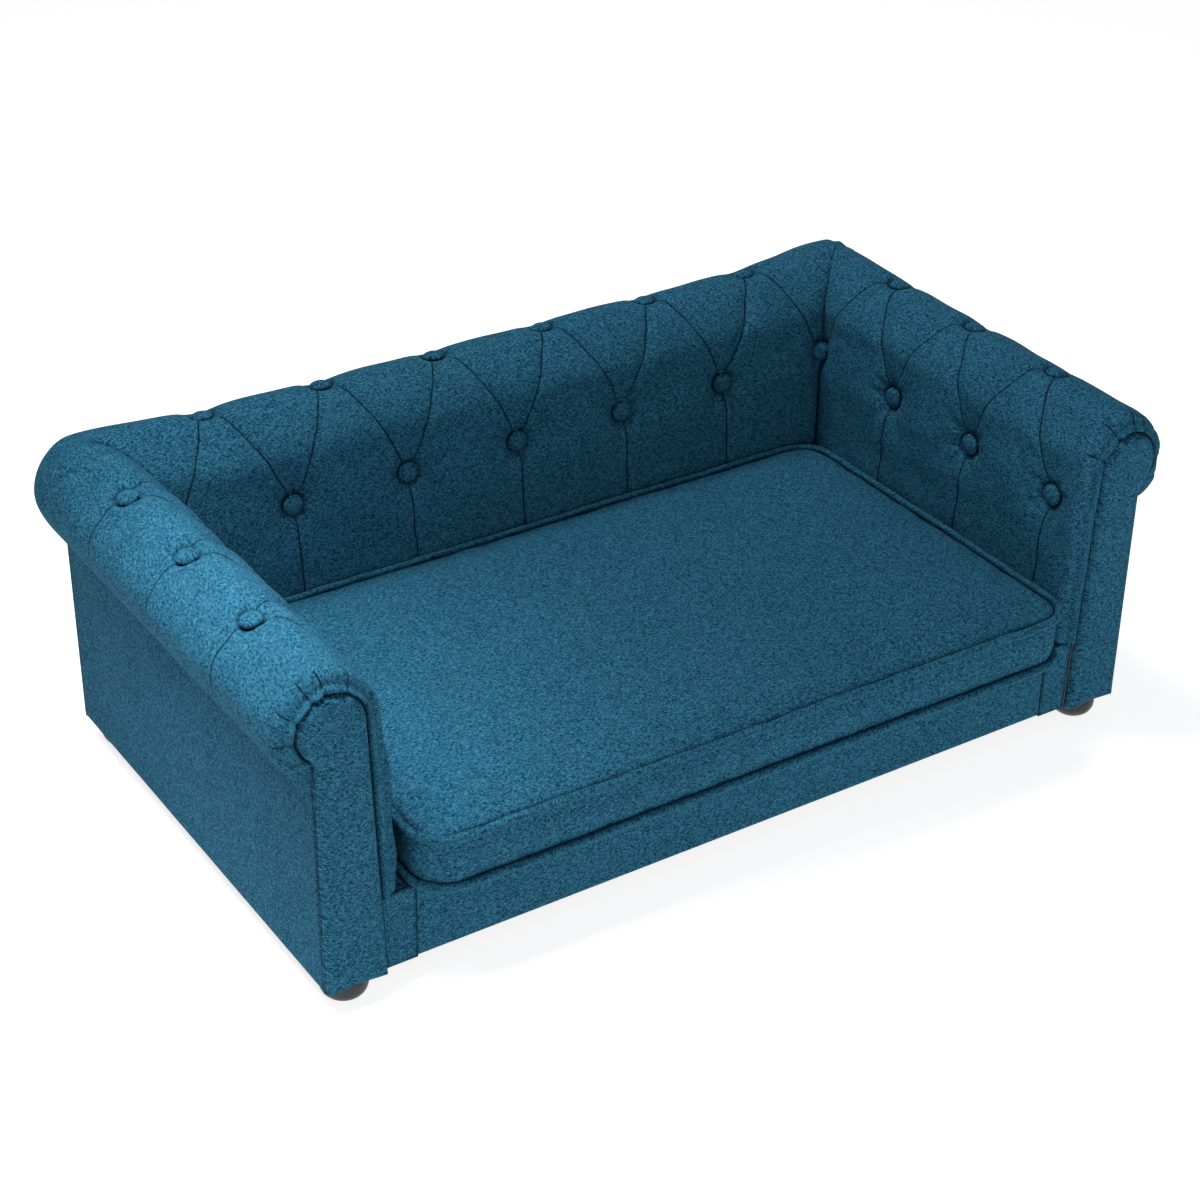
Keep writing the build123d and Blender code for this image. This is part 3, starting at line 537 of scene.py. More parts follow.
def toward_seam(rise, mark, gap, run, seam, at_seam):
    """Bends a pad's skin to the height that both pads share on the mitre, over a short way inside the corner
    and a long smooth one outside it. The corner button's seat is a flat across the mitre."""
    inside = part_of(run / roll_radius - math.radians(84), math.radians(24))
    near = inside * np.exp(-gap / inner_blend) + (1 - inside) * bell(gap, outer_blend)
    rise = rise + (seam - at_seam) * near
    disc = np.hypot(math.sqrt(2) * gap, run - run_corner_button)
    out = np.clip(disc - button_clear, 0, None)
    pull = np.exp(-((out / 0.0075) ** 0.9)) * part_of(gap, seat_step)
    drawn = np.minimum(rise, rise + (-corner_seat_depth - rise) * pull)
    seat = np.where(out > 0, drawn, -np.minimum(seat_step + gap, corner_seat_depth))
    mark = mark.copy()
    # Painted shade along the mitre's seam inside the corner and round the corner button; no pleat shadow line
    # over the button.
    mark[..., 0] = np.maximum(mark[..., 0], inside * 0.9 * bell(gap, 0.0013))
    mark[..., 0] = np.maximum(mark[..., 0], 0.85 * bell(np.clip(disc - 0.009, 0, None), 0.0035))
    mark[..., 2] *= 1 - np.exp(-((disc / 0.010) ** 4))
    return np.minimum(rise, seat), mark


def to_arm(side, out, along, up):
    """Places in an arm's section set in the frame. Side is -1 for the left arm."""
    out, along, up = np.broadcast_arrays(out, along, up)
    return np.stack([side * (arm_roll_x + out), along, roll_z + up], axis=-1)


def to_back(out, along, up):
    """Places in the back's section set in the frame."""
    out, along, up = np.broadcast_arrays(out, along, up)
    return np.stack([along, back_roll_y + out, roll_z + up], axis=-1)


def nearest_of(count, keep):
    """For each of count steps, the nearest of the kept ones."""
    return keep[np.abs(np.arange(count)[:, None] - keep[None]).argmin(axis=1)]


def post_side(up, out):
    """Where the inner wall stands at an arm's front: on the edge of the plywood former, which leans in."""
    edge = -(former_foot - former_lean * (up + former_drop) / former_drop)
    return np.where((out < -0.0285) & (up < 0.002), edge, out)


def roll_top(run):
    """The step that lies on top of the roll."""
    return int(np.abs(run - half_turn / 2).argmin())


def pad_shell(
    place, run, share, skin, mark, core_ends, end_columns, bulge=0.0, end_cap_shade=0.0, former=None, lay=None
):
    """A closed pad: its skin, a coarse inner wall, the walls at foot and hem, and the two ends. The inner
    wall's points are few, so the fine edges that meet it close on its nearest points. Rows up to former lie
    on a former, and lay is how far along the cloth they lie."""
    out, along, up = skin
    rows, columns = along.shape
    top = roll_top(run)
    few_columns = np.concatenate([np.linspace(0, top, 9), np.linspace(top, columns - 1, 22)])
    few_columns = np.unique(few_columns.round().astype(int))
    on_former = np.zeros(rows, bool) if former is None else along[:, -1] <= former
    round_former = [np.flatnonzero(on_former)[-1:], np.flatnonzero(~on_former)[:1]]
    few_rows = np.concatenate([[0], *round_former, np.linspace(rows // 12, rows - 1, 13)])
    few_rows = np.unique(few_rows.round().astype(int))
    column_of, row_of = nearest_of(columns, few_columns), nearest_of(rows, few_rows)
    core_out, core_up = core_section(run)
    core_start, core_end = core_ends(core_out)

    def core_along(row, column):
        return core_start[column] + share[row] * (core_end[column] - core_start[column])

    def core_side(row, column):
        return np.where(on_former[row], post_side(core_up[column], core_out[column]), core_out[column])

    row, column = few_rows[:, None], few_columns[None]
    core = place(core_side(row, column), core_along(row, column), core_up[few_columns])
    grain = np.broadcast_to(run, along.shape)
    lay = along if lay is None else lay
    patches = [(place(out, along, up), np.stack([lay, grain], axis=-1), mark), (core, core[..., :2], 0.0)]
    steps = np.linspace(0, 1, 4)[:, None]
    for column in (0, -1):
        wall_out = out[:, column] + steps * (core_side(row_of, column) - out[:, column])
        wall_up = up[:, column] + steps * (core_up[column] - up[:, column])
        wall_along = along[:, column] + steps * (core_along(row_of, column) - along[:, column])
        wall = place(wall_out, wall_along, wall_up)
        patches.append((wall, np.stack([wall_along, wall_up + wall_out], axis=-1), 0.0))
    steps = np.linspace(0, 1, 12)[:, None]
    kept = end_columns(top, columns)
    nearest = np.where(steps == 1, column_of[kept], kept)
    for row, puff, shade in ((0, bulge, end_cap_shade), (-1, 0.0, 0.0)):
        end_out = out[row, kept] + steps * (core_side(row, nearest) - out[row, kept])
        end_up = up[row, kept] + steps * (core_up[nearest] - up[row, kept])
        end_along = along[row, kept] + steps * (core_along(row, nearest) - along[row, kept])
        cap = place(end_out, end_along - np.sin(math.pi * steps) ** 0.7 * puff, end_up)
        weave = np.stack(np.broadcast_arrays(lay[row, kept] - 0.024 * steps, run[kept]), axis=-1)
        patches.append((cap, weave, shade + 0 * end_out))
    return patches, few_columns, column_of


def pleats_of(top, lows, depths, starts, tail, rng):
    """A top button's pleats: a slant to each of its two low buttons, then a short tail over the roll. Each is
    its two ends, its depth, its reach, and the side that it leans to."""
    pleats = []
    for low, depth, (beside, below), lean in zip(lows, depths, starts, (1, -1)):
        ends = (top + beside, run_top_button + below), (low + lean * 0.003, run_low_button - 0.006)
        pleats.append((ends, depth, pleat_reach, lean))
    tail_run, tail_depth, tail_reach = tail
    ends = (top, run_top_button - 0.008), (top + rng.uniform(-0.003, 0.003), tail_run)
    return [*pleats, (ends, tail_depth, tail_reach, 1)]


def hem_pleat(low):
    """The pleat from a low button down to the hem."""
    return ((low, run_low_button + 0.006), (low + 0.003, run_hem)), hem_depth, hem_reach, 1


arm_tops = np.array([-0.11225, -0.00225, 0.10775])
arm_lows = np.array([-0.17475, -0.06475, 0.04525])
corner_reach = 0.0468
arm_end = back_roll_y - corner_reach
edge_round = 0.0085
arm_starts = (-0.006, 0.006), (0.007, 0.005)
arm_tail = -0.012, 0.0017, 0.0080
gathers = np.radians([-27, -4, 26, 62, 84, 118, 160]) * roll_radius
front_draw = 0.0018
end_bulge, pucker_draw = 0.0062, 0.0030


def arm_pad(side, seed, spacing=0.0017):
    """An arm's padding, from the gathered front edge to the mitre."""
    run = run_steps(spacing)
    rng = np.random.default_rng(seed)
    pleats = []
    for top, low, next_low in zip(arm_tops, arm_lows, np.append(arm_lows[1:], arm_end)):
        last = slant_depths[1] if next_low < arm_end else arm_corner_depth
        pleats += pleats_of(top, (low, next_low), (slant_depths[0], last), arm_starts, arm_tail, rng)
        pleats.append(hem_pleat(low))
    for spot in gathers:
        slant, length = rng.uniform(-0.003, 0.003), rng.uniform(0.006, 0.015)
        ends = (pad_front_y - 0.01, spot), (pad_front_y + length, spot + slant)
        pleats.append((ends, gather_depth, gather_reach, rng.choice([-1, 1])))
    seam = np.interp(run, seam_runs, arm_seam)
    base_out, base_up, side_way, up_way = roll_section(run)
    end = back_roll_y + np.minimum(base_out + seam * side_way, 0)
    length = arm_end - pad_front_y
    first_rows = edge_round * (1 - np.cos(np.linspace(0, math.pi / 2, 7)))[:-1]
    share = np.concatenate([first_rows, np.linspace(edge_round, length, round(0.36 / spacing))]) / length
    along = pad_front_y + share[:, None] * (end - pad_front_y)
    wide = np.broadcast_to(run, along.shape)
    rise, mark = tufted(along, wide, arm_tops, arm_lows, pleats, seed)
    at_seam, _ = tufted(end[None], run[None], arm_tops, arm_lows, pleats, seed)
    rise, mark = toward_seam(rise, mark, end - along, wide, seam, at_seam)
    whole = part_of(wide - run_tuck, 0.02)
    depth = np.clip(along - pad_front_y, 0, edge_round)
    rounding = edge_round * (1 - np.sqrt(1 - (1 - depth / edge_round) ** 2))
    rise = rise - (rounding + front_draw * np.exp(-((along - pad_front_y) / 0.03))) * whole
    out, up = base_out + rise * side_way, base_up + rise * up_way
    lay = along + (edge_round - depth) - edge_round * np.arcsin(1 - depth / edge_round) * whole
    along = along.copy()
    along[-1] = back_roll_y + np.minimum(out[-1], 0)
    puckers = bell(np.abs(run[:, None] - gathers).min(axis=1), 0.003)
    steps = np.linspace(0, 1, 12)[:, None]
    bulge = (end_bulge - pucker_draw * puckers) * part_of(run - run_tuck + 0.004, 0.01)
    # Painted shade on the front end cap, darkest where it turns in to the inner wall and along its puckers.
    end_cap_shade = np.clip(bell(1 - steps, 0.16) + 0.5 * puckers * np.sin(math.pi * steps), 0, 1)
    patches, _, _ = pad_shell(
        lambda out, along, up: to_arm(side, out, along, up), run, share, (out, along, up), mark,
        lambda core: (pad_front_y + 0 * core, back_roll_y + np.minimum(core, 0)),
        lambda top, count: np.arange(count), bulge, end_cap_shade, former=pad_front_y + 0.012, lay=lay,
    )
    return patches


for name, side, seed in (("left", -1, 11), ("right", 1, 12)):
    pad = join_patches(name + "_arm_padding", arm_pad(side, seed), teal_linen)
    dress(pad, "linen", "sofa", name + "_arm_pad")

back_tops = 0.1125 * (np.arange(6) - 2.5)
back_lows = 0.1125 * (np.arange(5) - 2)
back_starts = (-0.005, 0.008), (0.006, 0.007)
back_tail = -0.014, 0.0012, 0.0075
corner_fullness = 0.10
corner_steps = 30
end_swell, end_swell_reach = 0.0065, 0.085
end_swell_turn, end_swell_width = math.radians(62), math.radians(42)
corner_wrinkle = 0.0008
square_turn = 65


def corner_swell(along, run):
    """How much fuller the back's roll is toward its two ends, most part-way up its outer side."""
    by_turn = bell(run / roll_radius - end_swell_turn, end_swell_width)
    return end_swell * bell(arm_roll_x - np.abs(along), end_swell_reach) * by_turn


def rear_corner(way, run, few_columns, column_of, seed):
    """One outer corner of the back: the roll's outer half swept through a right angle, from the arm's seam to
    the back's and a little full half-way. Low down it keeps square, out by 1 / cos of the sweep."""
    top = roll_top(run)
    outer = run[:top + 1]
    base_out, base_up, side_way, up_way = roll_section(outer)
    core_out, core_up = core_section(outer)
    few = few_columns[few_columns <= top]
    sweep = np.linspace(0, math.pi / 2, corner_steps)[:, None]
    across, behind = np.cos(sweep), np.sin(sweep)
    half_way = np.sin(2 * sweep) ** 2
    arm_line, back_line = (np.interp(outer, seam_runs, seam) for seam in (arm_seam, back_seam))
    here = np.stack(np.broadcast_arrays(sweep * 0.05, outer), axis=-1)
    wrinkle = corner_wrinkle * soft_noise(here, seed + 5 + way, 0.04)
    wrinkle = wrinkle * half_way * part_of(outer - run_tuck, 0.02) * part_of(outer[-1] - outer, 0.02)
    stand = arm_line + (back_line - arm_line) * behind**2 + wrinkle
    full = 1 + corner_fullness * half_way * part_of(outer - run_foot, 0.03)
    square = math.radians(square_turn)
    eased = 1 + (1 / math.cos(square) - 1) * (90 - np.degrees(sweep)) / (90 - square_turn)
    reach = np.where(np.degrees(sweep) < square_turn, 1 / np.cos(np.minimum(sweep, square)), eased)
    low = part_of(run_tuck - outer, run_tuck - run_foot) ** 2
    corner_out = (base_out + stand * side_way) * full * (1 + (reach - 1) * low)
    corner_up = base_up + stand * up_way

    def turned_place(radius, height):
        x = way * (arm_roll_x + radius * across)
        return np.stack(np.broadcast_arrays(x, back_roll_y + radius * behind, roll_z + height), axis=-1)

    inner = turned_place(core_out[few], core_up[few])
    foot_skin = turned_place(corner_out[:, :1], corner_up[:, :1])
    foot_core = turned_place(core_out[:1], core_up[:1])
    wall = foot_skin + np.linspace(0, 1, 4)[None, :, None] * (foot_core - foot_skin)
    steps = np.linspace(0, 1, 8)[:, None]
    picked = np.where(steps == 1, column_of[:top + 1], np.arange(top + 1))
    flat_out = corner_out[0] + steps * (core_out[picked] - corner_out[0])
    flat_up = corner_up[0] + steps * (core_up[picked] - corner_up[0])
    flat = np.stack([way * (arm_roll_x + flat_out), back_roll_y + 0 * flat_out, roll_z + flat_up], axis=-1)
    weave = np.stack(np.broadcast_arrays(way * (arm_roll_x + sweep * 0.045), outer), axis=-1)
    return [
        (turned_place(corner_out, corner_up), weave, 0.0), (inner, inner[..., :2], 0.0),
        (wall, wall[..., :2], 0.0), (flat, flat[..., ::2], 0.0),
    ]


def back_pad(seed, spacing=0.0019):
    """The back's padding, from mitre to mitre, with the outer corners that close it round both rear ends."""
    run = run_steps(spacing)
    rng = np.random.default_rng(seed)
    lows = np.concatenate([[-arm_roll_x + corner_reach], back_lows, [arm_roll_x - corner_reach]])
    pleats = []
    for top, low, next_low in zip(back_tops, lows[:-1], lows[1:]):
        first = back_corner_depths[0] if low == lows[0] else slant_depths[0]
        last = back_corner_depths[1] if next_low == lows[-1] else slant_depths[1]
        pleats += pleats_of(top, (low, next_low), (first, last), back_starts, back_tail, rng)
    pleats += [hem_pleat(low) for low in back_lows]
    seam = np.interp(run, seam_runs, back_seam)
    base_out, base_up, side_way, up_way = roll_section(run)
    end = arm_roll_x + np.minimum(base_out + seam * side_way, 0)
    share = np.linspace(0, 1, round(2 * arm_roll_x / spacing))
    along = -end + share[:, None] * 2 * end
    wide = np.broadcast_to(run, along.shape)
    rise, mark = tufted(along, wide, back_tops, back_lows, pleats, seed)
    rise = rise + corner_swell(along, wide)
    for way, gap in ((-1, along + end), (1, end - along)):
        at_seam, _ = tufted(way * end[None], run[None], back_tops, back_lows, pleats, seed)
        rise, mark = toward_seam(rise, mark, gap, wide, seam, at_seam + corner_swell(end, run))
    out, up = base_out + rise * side_way, base_up + rise * up_way
    along = along.copy()
    along[0] = -arm_roll_x - np.minimum(out[0], 0)
    along[-1] = arm_roll_x + np.minimum(out[-1], 0)
    patches, few_columns, column_of = pad_shell(
        to_back, run, share, (out, along, up), mark,
        lambda core: (-arm_roll_x - np.minimum(core, 0), arm_roll_x + np.minimum(core, 0)),
        lambda top, count: np.arange(top, count),
    )
    for way in (-1, 1):
        patches += rear_corner(way, run, few_columns, column_of, seed)
    return patches


back = join_patches("back_padding", back_pad(21), teal_linen)
dress(back, "linen", "sofa", "back_pad")

# Covered buttons: linen pressed over a domed metal form, sewn through the padding so that each sits low in
# its dimple. The tops face up out of the roll, the low ones face the seat, and one fills each inner corner.
button_pitch = 0.0011
button_radius, button_rim_height, button_dome = 0.0095, 0.0017, 0.0050
button_back = [(0, 0.0001), (0.0088, 0.0001), (0.0094, 0.0008), (button_radius, button_rim_height)]
top_seat = 0.0381
top_out, top_up = top_seat * math.cos(top_button_turn), top_seat * math.sin(top_button_turn)
low_out, low_up = -0.0395, -0.038
corner_x, corner_y = 0.33893, 0.15218


def button_patch(seat, facing, rng):
    """A button turned from its profile: a flat back, a rounded rim, and a dome whose radius goes by the
    cosine of an angle to the power 0.9 and whose height goes by its sine."""
    angle = np.linspace(0, math.pi / 2, 12)[1:]
    dome_height = button_rim_height + button_dome * np.sin(angle)
    dome = np.stack([button_radius * np.cos(angle) ** 0.9, dome_height], axis=-1)
    dome[-1, 0] = 0
    profile = np.concatenate([button_back, dome])
    facing = np.array(facing) / np.linalg.norm(facing)
    first = np.cross(facing, (0.3, 0.2, 1.0))
    first /= np.linalg.norm(first)
    second = np.cross(facing, first)
    around = np.linspace(0, 2 * math.pi, 49)
    around[-1] = 0
    radius, height = profile[:, :1], profile[:, 1:]
    seat = np.array(seat) + facing * rng.uniform(-0.0002, 0.0006)
    ring = np.cos(around)[:, None] * first + np.sin(around)[:, None] * second
    points = seat + radius[..., None] * ring + height[..., None] * facing
    spin = rng.uniform(0, math.pi)
    weave = radius[..., None] * 1.05 * np.stack([np.cos(around + spin), np.sin(around + spin)], axis=-1)
    # Painted shade on the button's low rim, where it sits down in its dimple.
    mark = 0.75 * part_of(0.0016 - height, 0.0016) + 0 * around
    return points, weave + rng.uniform(0, 1, 2), mark


button_linen = linen_finish("button_linen", button_pitch)
top_z, low_z = roll_z + top_up, roll_z + low_up
corner_z = low_z + corner_lift
button_rows = {
    "back_top_buttons": [((x, back_roll_y + top_out, top_z), (0, top_out, top_up)) for x in back_tops],
    "back_low_buttons": [((x, back_roll_y + low_out, low_z), (0, -1, 0)) for x in back_lows],
    "corner_buttons": [((side * corner_x, corner_y, corner_z), (-side, -1, 0)) for side in (-1, 1)],
}
for name, side in (("left", -1), ("right", 1)):
    top_x, low_x = side * (arm_roll_x + top_out), side * (arm_roll_x + low_out)
    top_facing = side * top_out, 0, top_up
    button_rows[name + "_arm_top_buttons"] = [((top_x, y, top_z), top_facing) for y in arm_tops]
    button_rows[name + "_arm_low_buttons"] = [((low_x, y, low_z), (-side, 0, 0)) for y in arm_lows]
for number, (name, seats) in enumerate(button_rows.items()):
    rng = np.random.default_rng(40 + number)
    row = [button_patch(seat, facing, rng) for seat, facing in seats]
    buttons = join_patches(name.replace("_buttons", "_covered_buttons"), row, button_linen)
    dress(buttons, "linen_button", "sofa", name)

# Front panels: a keyhole of plywood under wadding and linen, its edge turned over the back, pressed on to the
# end of each arm. The linen is tight, a little domed, and rounded at the edge.
panel_side = 0.016
panel_drop = 0.238
panel_edge = 0.0062
panel_stand, panel_dome = 0.0088, 0.0016
panel_gap = 0.0001
tube_radius = 0.0285
board_face = 0.038
neck_margin = 0.16


def keyhole_outline(points=360):
    """Outline of an arm's front in its section, and the spine that its rings shrink to: the roll's round end
    over a post with straight sides, stepped evenly round from the post's inner foot."""
    neck = math.asin(panel_side / tube_radius)
    head = np.linspace(math.pi, -math.pi / 2 + neck + neck_margin, 120)
    inner = np.linspace((-board_face, -panel_drop), (-tube_radius, 0), 130)[:-1]
    circle = tube_radius * np.stack([np.cos(head), np.sin(head)], axis=-1)
    start_z = circle[-1, 1]
    knee, end = np.array([panel_side + 0.0004, start_z - 0.002]), np.array([panel_side, start_z - 0.009])
    share = np.linspace(0, 1, 12)[1:, None]
    bend = circle[-1] * (1 - share) ** 2 + 2 * knee * share * (1 - share) + end * share**2
    outer = np.linspace(end, (panel_side, -panel_drop), 110)[1:]
    foot = np.linspace((panel_side, -panel_drop), (-board_face, -panel_drop), 34)[1:]
    line = np.concatenate([inner, circle, bend, outer, foot])
    length = np.concatenate([[0], np.cumsum(np.linalg.norm(np.diff(line, axis=0), axis=1))])
    even = np.linspace(0, length[-1], points)
    outline = np.stack([np.interp(even, length, line[:, axis]) for axis in (0, 1)], axis=-1)
    outline[-1] = outline[0]
    up = np.clip(outline[:, 1], -panel_drop + panel_side, -0.002)
    spine = np.stack([np.interp(up, [-panel_drop, -0.05, -0.002], [-0.011, -0.0072, -0.0005]), up], axis=-1)
    return outline, spine


def front_panel(side, seed):
    """A panel's face in rings from its outline to its spine: a quarter round at the edge, then a low dome."""
    outline, spine = keyhole_outline()
    reach = np.linalg.norm(spine - outline, axis=1)
    edge_shares, dome_shares = 1 - np.cos(np.linspace(0, math.pi / 2, 12)), np.linspace(1, 2, 14)[1:]
    share = np.concatenate([edge_shares, dome_shares])[:, None] / 2
    over_dome = panel_edge + (share - 0.5) * 2 * (reach - panel_edge)
    inward = np.where(share < 0.5, share * 2 * panel_edge, over_dome)
    ring = outline + (spine - outline) * (inward / reach)[..., None]
    round_up = np.sqrt(1 - (1 - part_of(inward, panel_edge)) ** 2)
    dome = panel_dome * part_of(inward - panel_edge, reach - panel_edge) ** 0.6
    ripple = 0.00035 * soft_noise(ring, seed, 0.045) * np.clip(inward / panel_edge - 0.5, 0, 1)
    stand = panel_stand * round_up + dome + ripple
    back_ring = outline + (spine - outline) * np.linspace(0, 1, 6)[:, None, None]
    face = to_arm(side, ring[..., 0], pad_front_y - panel_gap - stand, ring[..., 1])
    back = to_arm(side, back_ring[..., 0], pad_front_y - panel_gap, back_ring[..., 1])
    # Painted shade round the panel's edge, where it turns back to the arm.
    return [(face, ring + (0.3, 0.1), 0.9 * bell(stand, 0.0022)), (back, back[..., ::2], 0.0)]


for name, side, seed in (("left", -1, 51), ("right", 1, 52)):
    panel = join_patches(name + "_keyhole_panel", front_panel(side, seed), teal_linen)
    dress(panel, "linen", "sofa", name + "_front_panel")

# Flat covers: thin wadding under linen on the sides, the rear, the front rail and the narrow strips beside
# it. They are stapled under the base and pulled up, so they are near flat, with soft drag lines and rounded
# edges.
side_top_z, base_z, seat_z, rear_top_z = 0.218, 0.020, 0.090, 0.2300
side_x, side_rear_y = 0.3961, 0.23475
strip_y, strip_end_x, strip_top_x = -0.2108, 0.3171, arm_roll_x - 0.0352
cover_gap, strip_gap = 0.0003, 0.0002
strip_rounding = 0.0002
rear_y, rear_half = 0.2348, 0.400
wadding, strip_wadding = 0.0039, 0.0038


def cover_slab(corners, normal, thickness, seed, swell=0.0010, spacing=0.004, rounding=0.0028):
    """A flat padded cover over a four-cornered back: its face stands off by its thickness, rounds down at the
    edges, and swells and drags a little. Corners run round the face, two along the foot and two on top."""
    corners, normal = np.array(corners, float), np.array(normal, float)
    width, height = np.linalg.norm(corners[1] - corners[0]), np.linalg.norm(corners[3] - corners[0])

    def edge_steps(length):
        edge = rounding * (1 - np.cos(np.linspace(0, math.pi / 2, 6)))[:-1]
        middle = np.linspace(rounding, length - rounding, max(3, round(length / spacing)))
        return np.concatenate([edge, middle, length - edge[::-1]]) / length

    across, upward = edge_steps(width)[None, :, None], edge_steps(height)[:, None, None]
    foot, top = (start * (1 - across) + end * across for start, end in (corners[:2], corners[:1:-1]))
    flat = foot * (1 - upward) + top * upward
    s, t = across[..., 0] * width, upward[..., 0] * height
    near_s, near_t = np.minimum(s, width - s), np.minimum(t, height - t)
    near = np.minimum(near_s, near_t)
    to_edge = (1 - part_of(near_s, rounding)) ** 2 + (1 - part_of(near_t, rounding)) ** 2
    here = np.stack(np.broadcast_arrays(s, t), axis=-1)
    drag = soft_noise(here * (1.0, 0.3), seed, 0.06) * 0.00045 + soft_noise(here, seed + 1, 0.16) * 0.0005
    puff = swell * (1 - np.exp(-near / 0.03)) + drag * part_of(near, 0.02)
    stand = thickness * np.sqrt(np.clip(1 - to_edge, 0, 1)) + puff * (near > 0)
    weave = here + (0.2 * seed, 0.1)
    kept = [np.unique(np.linspace(0, count - 1, 5).round().astype(int)) for count in flat.shape[:2]]
    row_of, column_of = (nearest_of(count, keep) for count, keep in zip(flat.shape, kept))
    inner = np.ix_(*kept)
    face = flat + normal * stand[..., None]
    # Painted shade along the cover's rounded edges.
    patches = [(face, weave, 0.8 * bell(near, 0.0018)), (flat[inner], weave[inner], 0.0)]
    for sheet, nearest in ((flat, column_of), (flat.swapaxes(0, 1), row_of)):
        for end in (0, -1):
            wall = np.stack([sheet[end], sheet[end, nearest]])
            patches.append((wall, 0.0 * wall[..., :2], 0.0))
    return patches


def upright(start, end, low, high):
    """Corners of an upright cover by its two ends on plan and its heights."""
    return [(*start, low), (*end, low), (*end, high), (*start, high)]


def level(x0, x1, y0, y1, z):
    """Corners of a cover that lies level."""
    return [(x0, y0, z), (x1, y0, z), (x1, y1, z), (x0, y1, z)]


for name, side, seed in (("left", -1, 61), ("right", 1, 63)):
    ends = (side * side_x, pad_front_y), (side * side_x, side_rear_y)
    slab = cover_slab(upright(*ends, base_z, side_top_z - cover_gap), (side, 0, 0), wadding, seed)
    cover = join_patches(name + "_side_linen", slab, teal_linen)
    dress(cover, "linen", "sofa", name + "_side_cover")
    ends = (side * (arm_roll_x - board_face), strip_y), (side * strip_end_x, strip_y)
    corners = upright(*ends, base_z, seat_z - strip_gap)
    corners[3] = side * strip_top_x, strip_y, seat_z - strip_gap
    slab = cover_slab(
        corners, (0, -1, 0), strip_wadding, seed + 10, swell=0.0004, spacing=0.003, rounding=strip_rounding
    )
    strip = join_patches(name + "_post_strip", slab, teal_linen)
    dress(strip, "linen", "sofa", name + "_front_strip")
corners = upright((-rear_half, rear_y), (rear_half, rear_y), base_z, rear_top_z)
cover = join_patches("rear_linen", cover_slab(corners, (0, 1, 0), wadding, 65), teal_linen)
dress(cover, "linen", "sofa", "rear_cover")

rail_half, rail_back_y, lip_rear_y = 0.317, -0.21085, -0.1508
rail_edge = 0.003
lip_thickness = 0.0009
rail_end_y, rail_end_z = -0.2125, 0.0885
rail_swell, rail_drag, rail_end_round = 0.0010, 0.0005, 0.0015
face_rows = 20


def rail_patches(seed):
    """The rail's linen as one profile carried along the rail: up the front, over a rounded edge and back on
    the deck as a lip, then closed underneath. The front swells and drags a little between its ends."""
    bend = np.linspace(0, math.pi / 2, 8)[1:]
    front_z = np.linspace(base_z + 0.0025, seat_z - rail_edge, face_rows)
    front = np.stack([np.full(face_rows, pad_front_y), front_z], axis=-1)
    over_y, over_z = pad_front_y + rail_edge * (1 - np.cos(bend)), seat_z - rail_edge * (1 - np.sin(bend))
    profile = np.concatenate([
        [(rail_back_y, base_z), (pad_front_y + 0.002, base_z + 0.0004)],
        front,
        np.stack([over_y, over_z], axis=-1),
        np.linspace((pad_front_y + rail_edge, seat_z), (lip_rear_y, seat_z), 16)[1:],
        [(lip_rear_y, seat_z - lip_thickness), (rail_back_y, seat_z - lip_thickness), (rail_back_y, base_z)],
    ])
    x = np.concatenate([[-rail_half], np.linspace(-rail_half + 0.001, rail_half - 0.001, 170), [rail_half]])
    here = np.stack(np.broadcast_arrays(x[:, None], np.arange(len(profile)) * 0.0035), axis=-1)
    on_front = np.zeros(len(profile))
    on_front[2:2 + face_rows] = np.sin(np.linspace(0.1, math.pi - 0.1, face_rows))
    to_end = rail_half - np.abs(x)[:, None]
    drag = rail_drag * soft_noise(here * (1, 0.4), seed, 0.09)
    swell = on_front * (rail_swell + drag) * part_of(to_end, 0.02)
    end_round = rail_end_round * (1 - part_of(to_end, 0.001)) * (on_front > 0)
    spots = np.broadcast_arrays(x[:, None], profile[:, 0] - swell + end_round, profile[:, 1])
    points = np.stack(spots, axis=-1)
    length = np.concatenate([[0], np.cumsum(np.linalg.norm(np.diff(profile, axis=0), axis=1))])
    patches = [(points, np.stack(np.broadcast_arrays(x[:, None], length), axis=-1), 0.0)]
    for row in (0, -1):
        middle = points[row].mean(axis=0) * (1, 0, 0) + (0, rail_end_y, rail_end_z)
        end = np.stack([points[row], np.broadcast_to(middle, points[row].shape)])
        patches.append((end, end[..., 1:], 0.0))
    return patches


lip_inner_x, lip_front_y = 0.3172, -0.2106
deck_z = 0.08905
deck_half = 0.3458
lip_ends = []
for side, seed in ((-1, 72), (1, 73)):
    corners = level(*sorted((side * lip_inner_x, side * deck_half)), lip_front_y, lip_rear_y, deck_z)
    lip_ends += cover_slab(corners, (0, 0, 1), lip_thickness, seed, swell=0.0, spacing=0.008, rounding=0.0006)
rail = join_patches("rail_linen", rail_patches(71) + lip_ends, teal_linen)
dress(rail, "linen", "sofa", "front_rail_cover")

